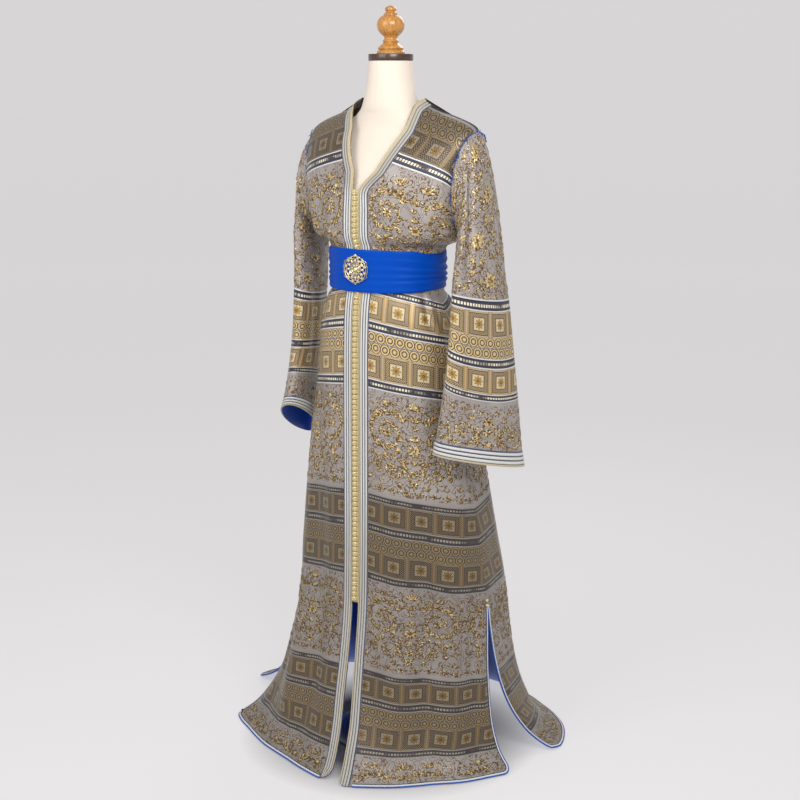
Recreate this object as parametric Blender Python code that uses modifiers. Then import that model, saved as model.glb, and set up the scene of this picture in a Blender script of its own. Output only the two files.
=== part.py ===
"""A moroccan kaftan on a limbless dress form.

Metres, +Z up. The wearer faces -Y and the wearer's left is +X. The origin is the
middle of the stand's foot, on the floor. Each cloth piece is a thin wall on one of
four surfaces: the two fronts, the back and the sleeves.
"""
import math

import bmesh
import bpy
import numpy as np
from mathutils import Vector

CLOTH = 0.0018            # brocade wall
LINING = 0.0010           # satin wall
TRIM = 0.0012             # woven braid wall
GAP = 0.0003              # seam gap, and gap between a piece and what lies on it

BRAID_HALF = 0.0082       # half the width of the knot button column
BRAID_WALL, BRAID_STAND = 0.0030, 0.0014
FRONT_EDGE = BRAID_HALF + 0.0005
TRIM_WIDTH = 0.025        # striped braid beside the front edges and round the neck
PIPING_WIDTH = 0.007      # flat piping on hems and slits
PIPING_INSET = 0.03       # share of a column that the hem's piping stops short of the trim
SLIT_TOP = 0.36
LINING_TOP = 0.50
BRAID_TOP = 1.283
# hem corners: at the placket of each front, and at the side slits
CORNER_RADIUS = {"left": 0.012, "right": 0.034, "side": 0.022}
HEM_ROWS = 4              # rows of cloth that a hem corner's rounding reaches
HEM_BAND = 0.26           # share of the last table row that carries the hem's piping
CUFF_BAND = 0.8           # share of the last sleeve ring that carries the cuff's braid
ROW_STEPS, HALF_BACK_STEPS = 61, 41
CLOTH_COLUMNS = 6         # even columns of a front between its trim and its piping
BELT_RINGS, BELT_STEPS = 5, 40

BELT_BOTTOM, BELT_TOP = 1.061, 1.153
BELT_LIFT, BELT_WALL = 0.0042, 0.0030
BUCKLE_RADIUS, BUCKLE_LOBE, BUCKLE_PLATE = 0.0345, 0.0022, 0.0035

# Bodice and upper skirt, the same on both sides. Inner is the front edge, outer the
# armhole and then the side seam. bow is 2 for a straight row and 1 for a quarter oval.
UPPER_ROWS = (
    # in_z, in_x, in_y, out_z, out_x, out_y, bow, back_out_y, back_y, back_z
    (1.470, 0.083, 0.010, 1.402, 0.215, 0.020, 2.00, 0.020, 0.060, 1.461),
    (1.459, 0.082, -0.020, 1.394, 0.210, -0.008, 1.85, 0.045, 0.076, 1.438),
    (1.432, 0.076, -0.050, 1.371, 0.203, -0.030, 1.55, 0.063, 0.094, 1.406),
    (1.393, 0.063, -0.084, 1.336, 0.197, -0.045, 1.25, 0.074, 0.108, 1.362),
    (1.356, 0.046, -0.107, 1.298, 0.192, -0.050, 1.08, 0.078, 0.117, 1.318),
    (1.318, 0.026, -0.121, 1.258, 0.188, -0.046, 0.98, 0.072, 0.120, 1.272),
    (1.283, FRONT_EDGE, -0.127, 1.220, 0.184, -0.034, 0.93, 0.056, 0.118, 1.230),
    (1.238, FRONT_EDGE, -0.129, 1.194, 0.179, -0.016, 0.90, 0.030, 0.114, 1.206),
    (1.200, FRONT_EDGE, -0.130, 1.176, 0.173, 0.000, 0.90, 0.000, 0.111, 1.186),
    (1.180, FRONT_EDGE, -0.1290, 1.168, 0.159, -0.002, 0.92, -0.002, 0.106, 1.174),
    (1.168, FRONT_EDGE, -0.1245, 1.161, 0.141, -0.005, 0.95, -0.005, 0.099, 1.166),
    (1.157, FRONT_EDGE, -0.1207, 1.156, 0.1295, -0.008, 0.96, -0.008, 0.093, 1.157),
    (1.108, FRONT_EDGE, -0.1200, 1.108, 0.127, -0.010, 0.96, -0.010, 0.091, 1.108),
    (1.058, FRONT_EDGE, -0.1207, 1.058, 0.1295, -0.008, 0.96, -0.008, 0.093, 1.058),
    (1.046, FRONT_EDGE, -0.1235, 1.044, 0.137, -0.005, 0.94, -0.005, 0.101, 1.044),
    (1.010, FRONT_EDGE, -0.1280, 1.006, 0.150, -0.002, 0.92, -0.002, 0.118, 1.008),
    (0.940, FRONT_EDGE, -0.1310, 0.940, 0.165, 0.000, 0.92, 0.000, 0.138, 0.940),
    (0.860, FRONT_EDGE, -0.1320, 0.860, 0.176, 0.002, 0.92, 0.002, 0.155, 0.860),
    (0.770, FRONT_EDGE, -0.1325, 0.770, 0.189, 0.004, 0.94, 0.004, 0.172, 0.770),
    (0.680, FRONT_EDGE, -0.1330, 0.680, 0.205, 0.006, 0.96, 0.006, 0.190, 0.680),
    (0.590, FRONT_EDGE, -0.1335, 0.590, 0.220, 0.009, 0.97, 0.009, 0.208, 0.590),
    (0.500, FRONT_EDGE, -0.1345, 0.500, 0.233, 0.013, 0.98, 0.013, 0.228, 0.500),
    (0.430, FRONT_EDGE, -0.1360, 0.430, 0.243, 0.017, 0.98, 0.017, 0.244, 0.430),
    (SLIT_TOP, FRONT_EDGE, -0.1385, SLIT_TOP, 0.250, 0.021, 0.98, 0.021, 0.262, SLIT_TOP),
)

# Below the slits each panel falls its own way and its hem lies out on the floor.
LOWER_ROWS = {
    "left": (
        # z, in_x, in_y, out_x, out_y, bow
        (0.300, 0.0100, -0.146, 0.254, 0.018, 1.00),
        (0.230, 0.0160, -0.163, 0.259, 0.012, 1.04),
        (0.160, 0.0270, -0.187, 0.268, 0.005, 1.12),
        (0.100, 0.0420, -0.217, 0.281, -0.003, 1.26),
        (0.052, 0.0545, -0.250, 0.301, -0.011, 1.40),
        (0.024, 0.0650, -0.276, 0.323, -0.018, 1.50),
        (0.0038, 0.0760, -0.303, 0.350, -0.025, 1.55),
    ),
    "right": (
        (0.300, 0.0060, -0.148, 0.248, -0.012, 1.00),
        (0.230, 0.0000, -0.167, 0.251, -0.040, 1.02),
        (0.160, -0.0080, -0.192, 0.264, -0.058, 1.08),
        (0.100, -0.0210, -0.221, 0.285, -0.074, 1.20),
        (0.052, -0.0330, -0.252, 0.311, -0.096, 1.35),
        (0.024, -0.0410, -0.277, 0.334, -0.115, 1.45),
        (0.0038, -0.0480, -0.303, 0.360, -0.136, 1.50),
    ),
    "back": (
        # z, left_x, left_y, right_x, right_y, mid_y, bow
        (0.300, 0.255, 0.026, 0.256, 0.010, 0.268, 0.99),
        (0.230, 0.260, 0.038, 0.269, 0.006, 0.278, 1.00),
        (0.160, 0.270, 0.054, 0.293, 0.008, 0.292, 1.02),
        (0.100, 0.288, 0.072, 0.330, 0.018, 0.312, 1.05),
        (0.052, 0.314, 0.092, 0.380, 0.034, 0.338, 1.10),
        (0.024, 0.342, 0.108, 0.424, 0.047, 0.364, 1.15),
        (0.0038, 0.374, 0.124, 0.472, 0.060, 0.396, 1.20),
    ),
}

# Soft upright folds. place is the share of the panel's width from its first edge,
# spread a share too; the fold grows from z_top down to z_full.
FOLDS = {
    "left": (
        # place, spread, depth, z_top, z_full
        (0.30, 0.090, 0.007, 0.95, 0.45),
        (0.52, 0.070, -0.010, 0.90, 0.40),
        (0.70, 0.080, 0.009, 0.80, 0.30),
        (0.86, 0.050, -0.005, 0.60, 0.25),
    ),
    "right": (
        (0.34, 0.080, -0.007, 0.90, 0.40),
        (0.56, 0.080, 0.009, 0.85, 0.35),
        (0.78, 0.070, -0.008, 0.70, 0.25),
    ),
    "back": (
        (0.13, 0.040, 0.009, 0.95, 0.35),
        (0.24, 0.035, -0.011, 0.90, 0.30),
        (0.37, 0.045, 0.012, 1.00, 0.40),
        (0.50, 0.040, -0.012, 1.00, 0.35),
        (0.62, 0.045, 0.012, 1.00, 0.40),
        (0.75, 0.035, -0.011, 0.90, 0.30),
        (0.87, 0.040, 0.009, 0.95, 0.35),
    ),
}

# Sleeves, below the armhole: the front and back folds of each ring, how far its outer
# side stands out between them, and how much higher the outer side is than the folds.
SLEEVE_RINGS = {
    "left": (
        # front_x, front_y, front_z, back_x, back_y, back_z, puff, rise
        (0.218, -0.056, 1.262, 0.220, 0.066, 1.262, 0.017, 0.088),
        (0.224, -0.066, 1.214, 0.232, 0.066, 1.210, 0.023, 0.064),
        (0.228, -0.080, 1.152, 0.246, 0.064, 1.140, 0.028, 0.034),
        (0.228, -0.090, 1.085, 0.258, 0.062, 1.066, 0.030, 0.014),
        (0.226, -0.098, 1.000, 0.270, 0.062, 0.976, 0.031, 0.005),
        (0.222, -0.106, 0.910, 0.282, 0.064, 0.880, 0.032, 0.000),
        (0.214, -0.114, 0.825, 0.293, 0.068, 0.785, 0.033, -0.002),
        (0.207, -0.120, 0.765, 0.300, 0.071, 0.722, 0.034, -0.003),
        (0.202, -0.125, 0.728, 0.305, 0.074, 0.680, 0.035, -0.004),
    ),
    "right": (
        (0.216, -0.055, 1.262, 0.222, 0.066, 1.262, 0.017, 0.088),
        (0.213, -0.062, 1.214, 0.232, 0.067, 1.210, 0.023, 0.064),
        (0.205, -0.072, 1.152, 0.242, 0.068, 1.140, 0.027, 0.034),
        (0.197, -0.080, 1.085, 0.248, 0.069, 1.066, 0.028, 0.014),
        (0.194, -0.087, 1.000, 0.256, 0.070, 0.976, 0.029, 0.005),
        (0.196, -0.096, 0.915, 0.265, 0.070, 0.880, 0.030, 0.000),
        (0.199, -0.107, 0.848, 0.275, 0.069, 0.785, 0.031, -0.002),
        (0.201, -0.117, 0.806, 0.283, 0.067, 0.722, 0.032, -0.003),
        (0.202, -0.124, 0.785, 0.288, 0.066, 0.678, 0.033, -0.004),
    ),
}
ARMPIT_ROW = 8            # row of UPPER_ROWS at the bottom of the armhole
SHOULDER_ROWS = 3.0       # rows over which the back's straight shoulder turns into an oval
BACK_BOW = 1.1            # the back is never straighter than this

# The opening of the neck hangs a little towards the wearer's left.
NECK_SWING = ((1.283, 0.0), (1.320, 0.018), (1.410, 0.018), (1.455, 0.0))

# Dress form: half width, front and back reach of each level.
FORM_ROWS = (
    # z, half_x, front_y, back_y, roundness
    (0.800, 0.128, -0.088, 0.092, 1.00),
    (0.812, 0.142, -0.100, 0.106, 0.97),
    (0.870, 0.152, -0.108, 0.120, 0.95),
    (0.950, 0.146, -0.108, 0.114, 0.95),
    (1.020, 0.128, -0.106, 0.096, 0.96),
    (1.090, 0.114, -0.103, 0.082, 0.97),
    (1.140, 0.116, -0.106, 0.082, 0.97),
    (1.200, 0.130, -0.115, 0.092, 0.95),
    (1.260, 0.146, -0.120, 0.103, 0.93),
    (1.310, 0.158, -0.110, 0.106, 0.93),
    (1.345, 0.164, -0.092, 0.094, 0.94),
    (1.378, 0.158, -0.070, 0.078, 0.96),
    (1.400, 0.138, -0.055, 0.064, 0.98),
    (1.418, 0.110, -0.050, 0.056, 1.00),
    (1.437, 0.082, -0.050, 0.051, 1.00),
    (1.455, 0.0670, -0.052, 0.0495, 1.00),
    (1.500, 0.0540, -0.049, 0.0485, 1.00),
    (1.548, 0.0475, -0.0475, 0.0475, 1.00),
)
CAP_BOTTOM, CAP_TOP, CAP_RADIUS = 1.5483, 1.5625, 0.0485
POLE_RADIUS, FOOT_RADIUS, FOOT_HEIGHT = 0.0160, 0.140, 0.026

FINIAL_PROFILE = (
    # radius, height over the cap
    (0.0010, 0.1010), (0.0070, 0.0995), (0.0115, 0.0960), (0.0125, 0.0915),
    (0.0100, 0.0885), (0.0120, 0.0860), (0.0150, 0.0845), (0.0155, 0.0810),
    (0.0220, 0.0770), (0.0275, 0.0700), (0.0298, 0.0610), (0.0280, 0.0510),
    (0.0225, 0.0430), (0.0160, 0.0370), (0.0135, 0.0320), (0.0165, 0.0290),
    (0.0180, 0.0260), (0.0160, 0.0230), (0.0205, 0.0190), (0.0255, 0.0150),
    (0.0280, 0.0115), (0.0255, 0.0085), (0.0285, 0.0065), (0.0305, 0.0030),
    (0.0300, 0.0003),
)

COLOURS = {
    # name: colour, roughness, metallic
    "brocade": ((0.42, 0.37, 0.33), 0.45, 0.15),
    "lining": ((0.004, 0.055, 0.42), 0.35, 0.0),
    "trim": ((0.62, 0.62, 0.60), 0.50, 0.1),
    "gold": ((0.72, 0.52, 0.20), 0.35, 0.7),
    "sash": ((0.002, 0.085, 0.62), 0.40, 0.0),
    "linen": ((0.82, 0.77, 0.70), 0.80, 0.0),
    "dark_wood": ((0.045, 0.018, 0.008), 0.35, 0.0),
    "wood": ((0.50, 0.21, 0.05), 0.30, 0.0),
    "steel": ((0.35, 0.35, 0.36), 0.35, 1.0),
}


# ---------------------------------------------------------------- scene and finish

def clear_scene():
    for old in list(bpy.data.objects):
        bpy.data.objects.remove(old, do_unlink=True)


def material(name):
    if name in bpy.data.materials:
        return bpy.data.materials[name]
    colour, roughness, metallic = COLOURS[name]
    finish = bpy.data.materials.new(name)
    finish.use_nodes = True
    shader = finish.node_tree.nodes["Principled BSDF"]
    shader.inputs["Base Color"].default_value = (*colour, 1.0)
    shader.inputs["Roughness"].default_value = roughness
    shader.inputs["Metallic"].default_value = metallic
    return finish


def add_object(name, mesh, finish):
    piece = bpy.data.objects.new(name, mesh)
    mesh.materials.append(material(finish))
    PARTS.objects.link(piece)
    return piece


# ---------------------------------------------------------------- cloth surfaces

def smooth_rows(rows, place):
    """A row between the table's rows, on a smooth curve through them."""
    table = np.array(rows, dtype=float)
    index = min(int(place), len(rows) - 2)
    share = place - index
    before = table[max(index - 1, 0)]
    start, end = table[index], table[index + 1]
    after = table[min(index + 2, len(rows) - 1)]
    tangent_a, tangent_b = 0.5 * (end - before), 0.5 * (after - start)
    s2, s3 = share * share, share ** 3
    return ((2 * s3 - 3 * s2 + 1) * start + (s3 - 2 * s2 + share) * tangent_a
            + (3 * s2 - 2 * s3) * end + (s3 - s2) * tangent_b)


def quarter(inner, outer, bow, steps):
    """Points from inner to outer on a quarter oval; bow 2 makes it straight."""
    angle = np.linspace(0.0, math.pi / 2, steps)
    along = np.sin(angle) ** bow
    across = np.cos(angle) ** bow
    share = angle / (math.pi / 2)
    x = inner[0] + (outer[0] - inner[0]) * along
    y = outer[1] + (inner[1] - outer[1]) * across
    z = inner[2] + (outer[2] - inner[2]) * share
    return np.stack([x, y, z], axis=1)


def fold_push(side, share, z):
    """How far the folds push the cloth out at a share of its width."""
    push = np.zeros_like(share)
    for place, spread, depth, z_top, z_full in FOLDS[side]:
        grown = np.clip((z_top - z) / (z_top - z_full), 0.0, 1.0)
        settled = np.clip(z / 0.10, 0.25, 1.0)
        push += depth * grown * settled * np.exp(-((share - place) / spread) ** 2)
    return push


def outward(points):
    """Level directions that point out of a row of points, away from the body."""
    along = np.gradient(points, axis=0)
    out = np.stack([along[:, 1], -along[:, 0], np.zeros(len(points))], axis=1)
    size = np.linalg.norm(out, axis=1, keepdims=True)
    out /= np.maximum(size, 1e-9)
    if np.sum(out[:, :2] * (points[:, :2] - np.array([0.0, 0.02]))) < 0:
        out = -out
    return out


def front_rows(side):
    """The front's table rows, in one layout from shoulder to hem."""
    rows = [row[:7] for row in UPPER_ROWS]
    for z, in_x, in_y, out_x, out_y, bow in LOWER_ROWS[side]:
        rows.append((z, in_x, in_y, z, out_x, out_y, bow))
    return rows


def back_rows():
    rows = []
    for _, _, _, out_z, out_x, _, bow, out_y, mid_y, mid_z in UPPER_ROWS:
        rows.append((out_z, out_x, out_y, out_x, out_y, mid_y, mid_z, bow))
    for z, left_x, left_y, right_x, right_y, mid_y, bow in LOWER_ROWS["back"]:
        rows.append((z, left_x, left_y, right_x, right_y, mid_y, z, bow))
    return rows


def front_curve(side, place):
    in_z, in_x, in_y, out_z, out_x, out_y, bow = smooth_rows(front_rows(side), place)
    seam = GAP if place == 0 else 0.5 * GAP
    points = quarter((in_x, in_y - seam, in_z), (out_x, out_y - seam, out_z), bow, ROW_STEPS)
    share = np.linspace(0.0, 1.0, ROW_STEPS)
    points += outward(points) * fold_push(side, share, points[:, 2])[:, None]
    if side == "right":
        points[:, 0] *= -1.0
    swing = float(np.interp(in_z, *zip(*NECK_SWING)))
    points[:, 0] += swing * (1.0 - share) ** 2
    return points


def back_curve(place):
    """From the left side seam round the back to the right one."""
    out_z, left_x, left_y, right_x, right_y, mid_y, mid_z, bow = smooth_rows(
        back_rows(), place)
    neck = smooth_rows(UPPER_ROWS, min(place, len(UPPER_ROWS) - 1.0))
    seam = GAP if place == 0 else 0.5 * GAP
    halves = []
    for x, y in ((left_x, left_y), (right_x, right_y)):
        tip = (x, y + seam, out_z)
        oval = quarter((0.0, mid_y, mid_z), tip, min(bow, BACK_BOW), HALF_BACK_STEPS)
        rise = max(0.0, 1.0 - place / SHOULDER_ROWS)
        if rise > 0.0:
            line = shoulder_line(neck, oval[:, 0] / x, tip, mid_y, mid_z)
            oval = oval * (1.0 - rise) + line * rise
        halves.append(oval)
    halves[1][:, 0] *= -1.0
    points = np.concatenate([halves[0][::-1], halves[1][1:]])
    share = np.linspace(0.0, 1.0, len(points))
    points += outward(points) * fold_push("back", share, points[:, 2])[:, None]
    return points


def shoulder_line(neck, share, tip, mid_y, mid_z):
    """Straight from the shoulder tip to the neck point, then round the back neck."""
    neck_z, neck_x, neck_y = neck[0], neck[1], max(neck[2], 0.010) + GAP
    x = share * tip[0]
    turn = np.clip(x / neck_x, 0.0, 1.0)
    round_y = mid_y - (mid_y - neck_y) * turn ** 2.4
    round_z = mid_z + (neck_z - mid_z) * turn ** 2.0
    slope = np.clip((x - neck_x) / (tip[0] - neck_x), 0.0, 1.0)
    beyond = x > neck_x
    y = np.where(beyond, neck_y + (tip[1] - neck_y) * slope, round_y)
    z = np.where(beyond, neck_z + (tip[2] - neck_z) * slope, round_z)
    return np.stack([x, y, z], axis=1)


def at_distance(points, distance):
    """The point this far along the row; a negative distance counts from its end."""
    steps = np.linalg.norm(np.diff(points, axis=0), axis=1)
    run = np.concatenate([[0.0], np.cumsum(steps)])
    if distance < 0:
        distance += run[-1]
    return np.array([np.interp(distance, run, points[:, k]) for k in range(3)])


def row_length(points):
    return float(np.sum(np.linalg.norm(np.diff(points, axis=0), axis=1)))


def front_columns(length):
    """The trim's width, six even columns, the piping's width."""
    even = np.linspace(TRIM_WIDTH, length - PIPING_WIDTH, CLOTH_COLUMNS + 1)
    return [0.0, *even, length]


def back_columns(length, neck_share):
    """Piping, three columns, the neck's six columns, three more and piping."""
    neck_a, neck_b = neck_share * length, (1.0 - neck_share) * length
    side = np.linspace(PIPING_WIDTH, neck_a, 5)
    neck = np.linspace(neck_a, neck_b, 7)
    return [0.0, *side, *neck[1:-1], *(length - side[::-1]), length]


def round_corner(grid, row_from, from_start, radius):
    """Round the hem corner of a panel by drawing its points in towards the inside."""
    rows, columns = len(grid), len(grid[0])
    corner_column = 0 if from_start else columns - 1
    corner = grid[rows - 1][corner_column].copy()
    up = grid[row_from][corner_column] - corner
    inner = columns // 2
    side = grid[rows - 1][inner] - corner
    up, side = up / np.linalg.norm(up), side / np.linalg.norm(side)
    for i in range(row_from, rows):
        for j in range(columns):
            offset = grid[i][j] - corner
            a, b = float(offset @ side), float(offset @ up)
            if a >= radius or b >= radius:
                continue
            px, py = radius - max(a, 0.0), radius - max(b, 0.0)
            pull = max(px, py) / math.hypot(px, py)
            grid[i][j] += (px - px * pull) * side + (py - py * pull) * up


def row_places():
    """Places of the cloth's rows in the tables: all table rows and the hem's band."""
    last = len(UPPER_ROWS) + len(LOWER_ROWS["left"]) - 1
    places = [float(k) for k in range(last)]
    return [*places, last - HEM_BAND, float(last)]


def panel_grid(side):
    grid = []
    neck_share = neck_point_share()
    for place in row_places():
        if side == "back":
            curve = back_curve(place)
            columns = back_columns(row_length(curve), neck_share)
        else:
            curve = front_curve(side, place)
            columns = front_columns(row_length(curve))
        grid.append([at_distance(curve, d) for d in columns])
    near_hem = len(grid) - HEM_ROWS
    round_corner(grid, near_hem, True, CORNER_RADIUS.get(side, CORNER_RADIUS["side"]))
    round_corner(grid, near_hem, False, CORNER_RADIUS["side"])
    return np.array(grid)


def neck_point_share():
    """Where the neck point is, as a share of the back's top row."""
    top = back_curve(0.0)
    steps = np.linalg.norm(np.diff(top, axis=0), axis=1)
    run = np.concatenate([[0.0], np.cumsum(steps)])
    neck_x = UPPER_ROWS[0][1]
    return float(np.interp(-neck_x, -top[:, 0], run) / run[-1])


def grid_normals(grid, inside):
    """Unit normals of a grid of points, away from a point inside the garment."""
    normals = np.cross(np.gradient(grid, axis=1), np.gradient(grid, axis=0))
    normals /= np.maximum(np.linalg.norm(normals, axis=2, keepdims=True), 1e-9)
    row = len(grid) // 2
    facing = np.sum((normals[row] * (grid[row] - inside))[:, :2])
    return normals if facing > 0 else -normals


# ---------------------------------------------------------------- walls

def wall(name, grid, normals, finish, outer, inner, cells=None, ring=False):
    """A closed wall over a grid's cells, between two distances along its normals."""
    columns = grid.shape[1] if ring else grid.shape[1] - 1
    if cells is None:
        cells = [(i, j) for i in range(grid.shape[0] - 1) for j in range(columns)]
    shape = bmesh.new()
    layers = []
    for reach in (outer, inner):
        corners, layer = {}, []
        for i, j in cells:
            quad = [(i, j), (i, j + 1), (i + 1, j + 1), (i + 1, j)]
            quad = [(r, c % grid.shape[1]) for r, c in quad]
            for key in quad:
                if key not in corners:
                    corners[key] = shape.verts.new(Vector(grid[key] + reach * normals[key]))
            a, b, c, d = (corners[key] for key in quad)
            layer += [shape.faces.new((a, b, c)), shape.faces.new((a, c, d))]
        layers.append((corners, layer))
    (top, top_faces), (bottom, _) = layers
    keys = {vert: key for key, vert in top.items()}
    open_edges = [edge for edge in shape.edges if len(edge.link_faces) == 1
                  and edge.verts[0] in keys and edge.verts[1] in keys]
    for edge in open_edges:
        a, b = edge.verts
        c, d = bottom[keys[b]], bottom[keys[a]]
        shape.faces.new((a, b, c))
        shape.faces.new((a, c, d))
    bmesh.ops.recalc_face_normals(shape, faces=shape.faces)
    mesh = bpy.data.meshes.new(name)
    shape.to_mesh(mesh)
    shape.free()
    mesh.shade_smooth()
    mesh.set_sharp_from_angle(angle=math.radians(50))
    return add_object(name, mesh, finish)


def closed_loft(name, rings, finish):
    """A solid through rings of points, capped at both ends."""
    shape = bmesh.new()
    loops = [[shape.verts.new(Vector(point)) for point in ring] for ring in rings]
    count = len(loops[0])
    for lower, upper in zip(loops, loops[1:]):
        for k in range(count):
            n = (k + 1) % count
            shape.faces.new((lower[k], lower[n], upper[n], upper[k]))
    shape.faces.new(loops[0])
    shape.faces.new(loops[-1])
    bmesh.ops.recalc_face_normals(shape, faces=shape.faces)
    mesh = bpy.data.meshes.new(name)
    shape.to_mesh(mesh)
    shape.free()
    mesh.shade_smooth()
    mesh.set_sharp_from_angle(angle=math.radians(50))
    return add_object(name, mesh, finish)


def turned(name, profile, finish, base, steps=28):
    """A solid turned about an upright axis through base, from a profile, top first."""
    mesh = bpy.data.meshes.new(name)
    points = [(0.0, profile[0][1]), *profile, (0.0, profile[-1][1])]
    verts = [(radius, 0.0, height) for radius, height in points]
    mesh.from_pydata(verts, [(k, k + 1) for k in range(len(verts) - 1)], [])
    piece = add_object(name, mesh, finish)
    piece.location = base
    screw = piece.modifiers.new("Turn", "SCREW")
    screw.angle = math.radians(360)
    screw.steps = screw.render_steps = steps
    screw.use_merge_vertices = True
    screw.merge_threshold = 0.00001
    screw.use_smooth_shade = True
    return piece


# ---------------------------------------------------------------- pieces

def make_panels():
    """The three panels' grids and normals, with shared normals at their seams."""
    grids = {side: panel_grid(side) for side in ("left", "right", "back")}
    inside = np.array([0.0, 0.03, 0.0])
    normals = {side: grid_normals(grid, inside) for side, grid in grids.items()}
    slit_row = len(UPPER_ROWS) - 1
    for row in range(slit_row + 1):
        for side, column in (("left", 0), ("right", -1)):
            shared = normals[side][row, -1] + normals["back"][row, column]
            shared /= np.linalg.norm(shared)
            normals[side][row, -1] = normals["back"][row, column] = shared
    tip, neck = np.array(UPPER_ROWS[0][3:6]), np.array(UPPER_ROWS[0][0:3])
    slope = math.atan2(neck[0] - tip[0], tip[1] - neck[1])
    for side, sign in (("left", 1.0), ("right", -1.0)):
        ridge = np.array([sign * math.sin(slope), 0.0, math.cos(slope)])
        normals[side][0, :] = ridge
        beyond_neck = sign * grids["back"][0, :, 0] > neck[1] - 0.001
        normals["back"][0, beyond_neck] = ridge
    return grids, normals


def make_cloth(grids, normals):
    names = {"left": "front_left", "right": "front_right", "back": "back"}
    lining_row = next(k for k, row in enumerate(UPPER_ROWS) if row[0] <= LINING_TOP)
    slit_row = len(UPPER_ROWS) - 1
    for side, name in names.items():
        grid, normal = grids[side], normals[side]
        wall(name, grid, normal, "brocade", 0.0, -CLOTH)
        rows, columns = grid.shape[0] - 1, grid.shape[1] - 1
        inside = CLOTH + GAP
        lower = [(i, j) for i in range(lining_row, rows) for j in range(columns)]
        wall("lining_" + name, grid, normal, "lining", -inside, -inside - LINING, lower)
        hem = [(rows - 1, j) for j in range(columns)]
        slit = [(i, columns - 1) for i in range(slit_row, rows - 1)]
        piped = grid.copy()
        if side == "back":
            slit += [(i, 0) for i in range(slit_row, rows - 1)]
        else:
            hem = hem[1:]
            piped[:, 1] += PIPING_INSET * (grid[:, 2] - grid[:, 1])
            trim = [(i, 0) for i in range(rows)]
            wall("trim_" + name, grid, normal, "trim", GAP + TRIM, GAP, trim)
        wall("piping_" + name, piped, normal, "trim", GAP + TRIM, GAP, hem + slit)


def make_neck_trim(grids, normals):
    x = np.abs(grids["back"][0, :, 0])
    columns = [j for j in range(len(x) - 1) if max(x[j], x[j + 1]) < UPPER_ROWS[0][1] + 0.001]
    wall("trim_back_neck", grids["back"], normals["back"], "trim", GAP + TRIM, GAP,
         [(0, j) for j in columns])


def make_button_braid():
    """The strip that carries the knot buttons and closes the fronts edge to edge."""
    grid = []
    first = next(k for k, row in enumerate(UPPER_ROWS) if row[0] <= BRAID_TOP)
    for place in range(first, len(UPPER_ROWS)):
        z, _, y = UPPER_ROWS[place][:3]
        grid.append([(-BRAID_HALF, y, z), (0.0, y, z), (BRAID_HALF, y, z)])
    grid = np.array(grid)
    normals = grid_normals(grid, np.array([0.0, 0.03, 1.0]))
    wall("button_braid", grid, normals, "gold", BRAID_STAND, BRAID_STAND - BRAID_WALL)


def armhole_loop(grids):
    """The armhole's points: front edge down to the armpit, then up the back edge."""
    front = grids["left"][:ARMPIT_ROW + 1, -1]
    back = grids["back"][:ARMPIT_ROW + 1, 0]
    tip = 0.5 * (front[0] + back[0])
    pit = 0.5 * (front[-1] + back[-1])
    loop = np.array([tip, *front[1:-1], pit, *back[-2:0:-1]])
    return loop + np.array([2.0 * GAP, 0.0, 0.0])


def sleeve_grid(grids, side):
    """A sleeve's rings, on the wearer's left; the right one is mirrored afterwards."""
    loop = armhole_loop(grids)
    turn = np.linspace(0.0, 2.0 * math.pi, len(loop), endpoint=False)
    rings = [loop]
    for *folds, puff, rise in SLEEVE_RINGS[side]:
        front, back = np.array(folds[:3]), np.array(folds[3:])
        middle, reach = 0.5 * (front + back), 0.5 * (front - back)
        level = np.array([-reach[1], reach[0], 0.0])
        out = puff * level / np.linalg.norm(level) + np.array([0.0, 0.0, rise])
        rings.append(middle + np.outer(np.cos(turn), out) + np.outer(np.sin(turn), reach))
    flat = [ring.reshape(-1) for ring in rings]
    last = len(flat) - 1.0
    places = [*np.arange(0.0, last - CUFF_BAND, 0.5), last - CUFF_BAND, last]
    return np.array([smooth_rows(flat, place).reshape(-1, 3) for place in places])


def make_sleeves(grids):
    for side, sign in (("left", 1.0), ("right", -1.0)):
        grid = sleeve_grid(grids, side) * np.array([sign, 1.0, 1.0])
        normals = ring_normals(grid)
        normals[0, :, 0] = 0.0
        normals[0] /= np.linalg.norm(normals[0], axis=1, keepdims=True)
        wall("sleeve_" + side, grid, normals, "brocade", 0.0, -CLOTH, ring=True)
        rows, columns = grid.shape[0] - 1, grid.shape[1]
        band = [(rows - 1, j) for j in range(columns)]
        wall("trim_cuff_" + side, grid, normals, "trim", GAP + TRIM, GAP, band, ring=True)


def ring_normals(grid):
    """Normals of a tube's grid, away from its middle line."""
    across = np.roll(grid, -1, axis=1) - np.roll(grid, 1, axis=1)
    normals = np.cross(across, np.gradient(grid, axis=0))
    normals /= np.linalg.norm(normals, axis=2, keepdims=True)
    middle = grid.mean(axis=1, keepdims=True)
    return normals if np.sum(normals * (grid - middle)) > 0 else -normals


def make_belt():
    """The wound sash: one wall round the waist, outside the fronts' trims."""
    grid = []
    for z in np.linspace(BELT_TOP, BELT_BOTTOM, BELT_RINGS):
        place = float(np.interp(-z, [-row[0] for row in UPPER_ROWS], range(len(UPPER_ROWS))))
        right = front_curve("right", place)
        loop = np.concatenate([front_curve("left", place), back_curve(place)[1:-1], right[::-1]])
        length = row_length(loop) + np.linalg.norm(loop[0] - loop[-1])
        ring = [at_distance(loop, length * k / BELT_STEPS) for k in range(BELT_STEPS)]
        grid.append([(x, y, z) for x, y, _ in ring])
    grid = np.array(grid)
    normals = ring_normals(grid)
    normals[:, :, 2] = 0.0
    normals /= np.linalg.norm(normals, axis=2, keepdims=True)
    wall("belt", grid, normals, "sash", BELT_LIFT + BELT_WALL, BELT_LIFT, ring=True)
    return float(grid[BELT_RINGS // 2, 0, 1]) - BELT_LIFT - BELT_WALL


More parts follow.
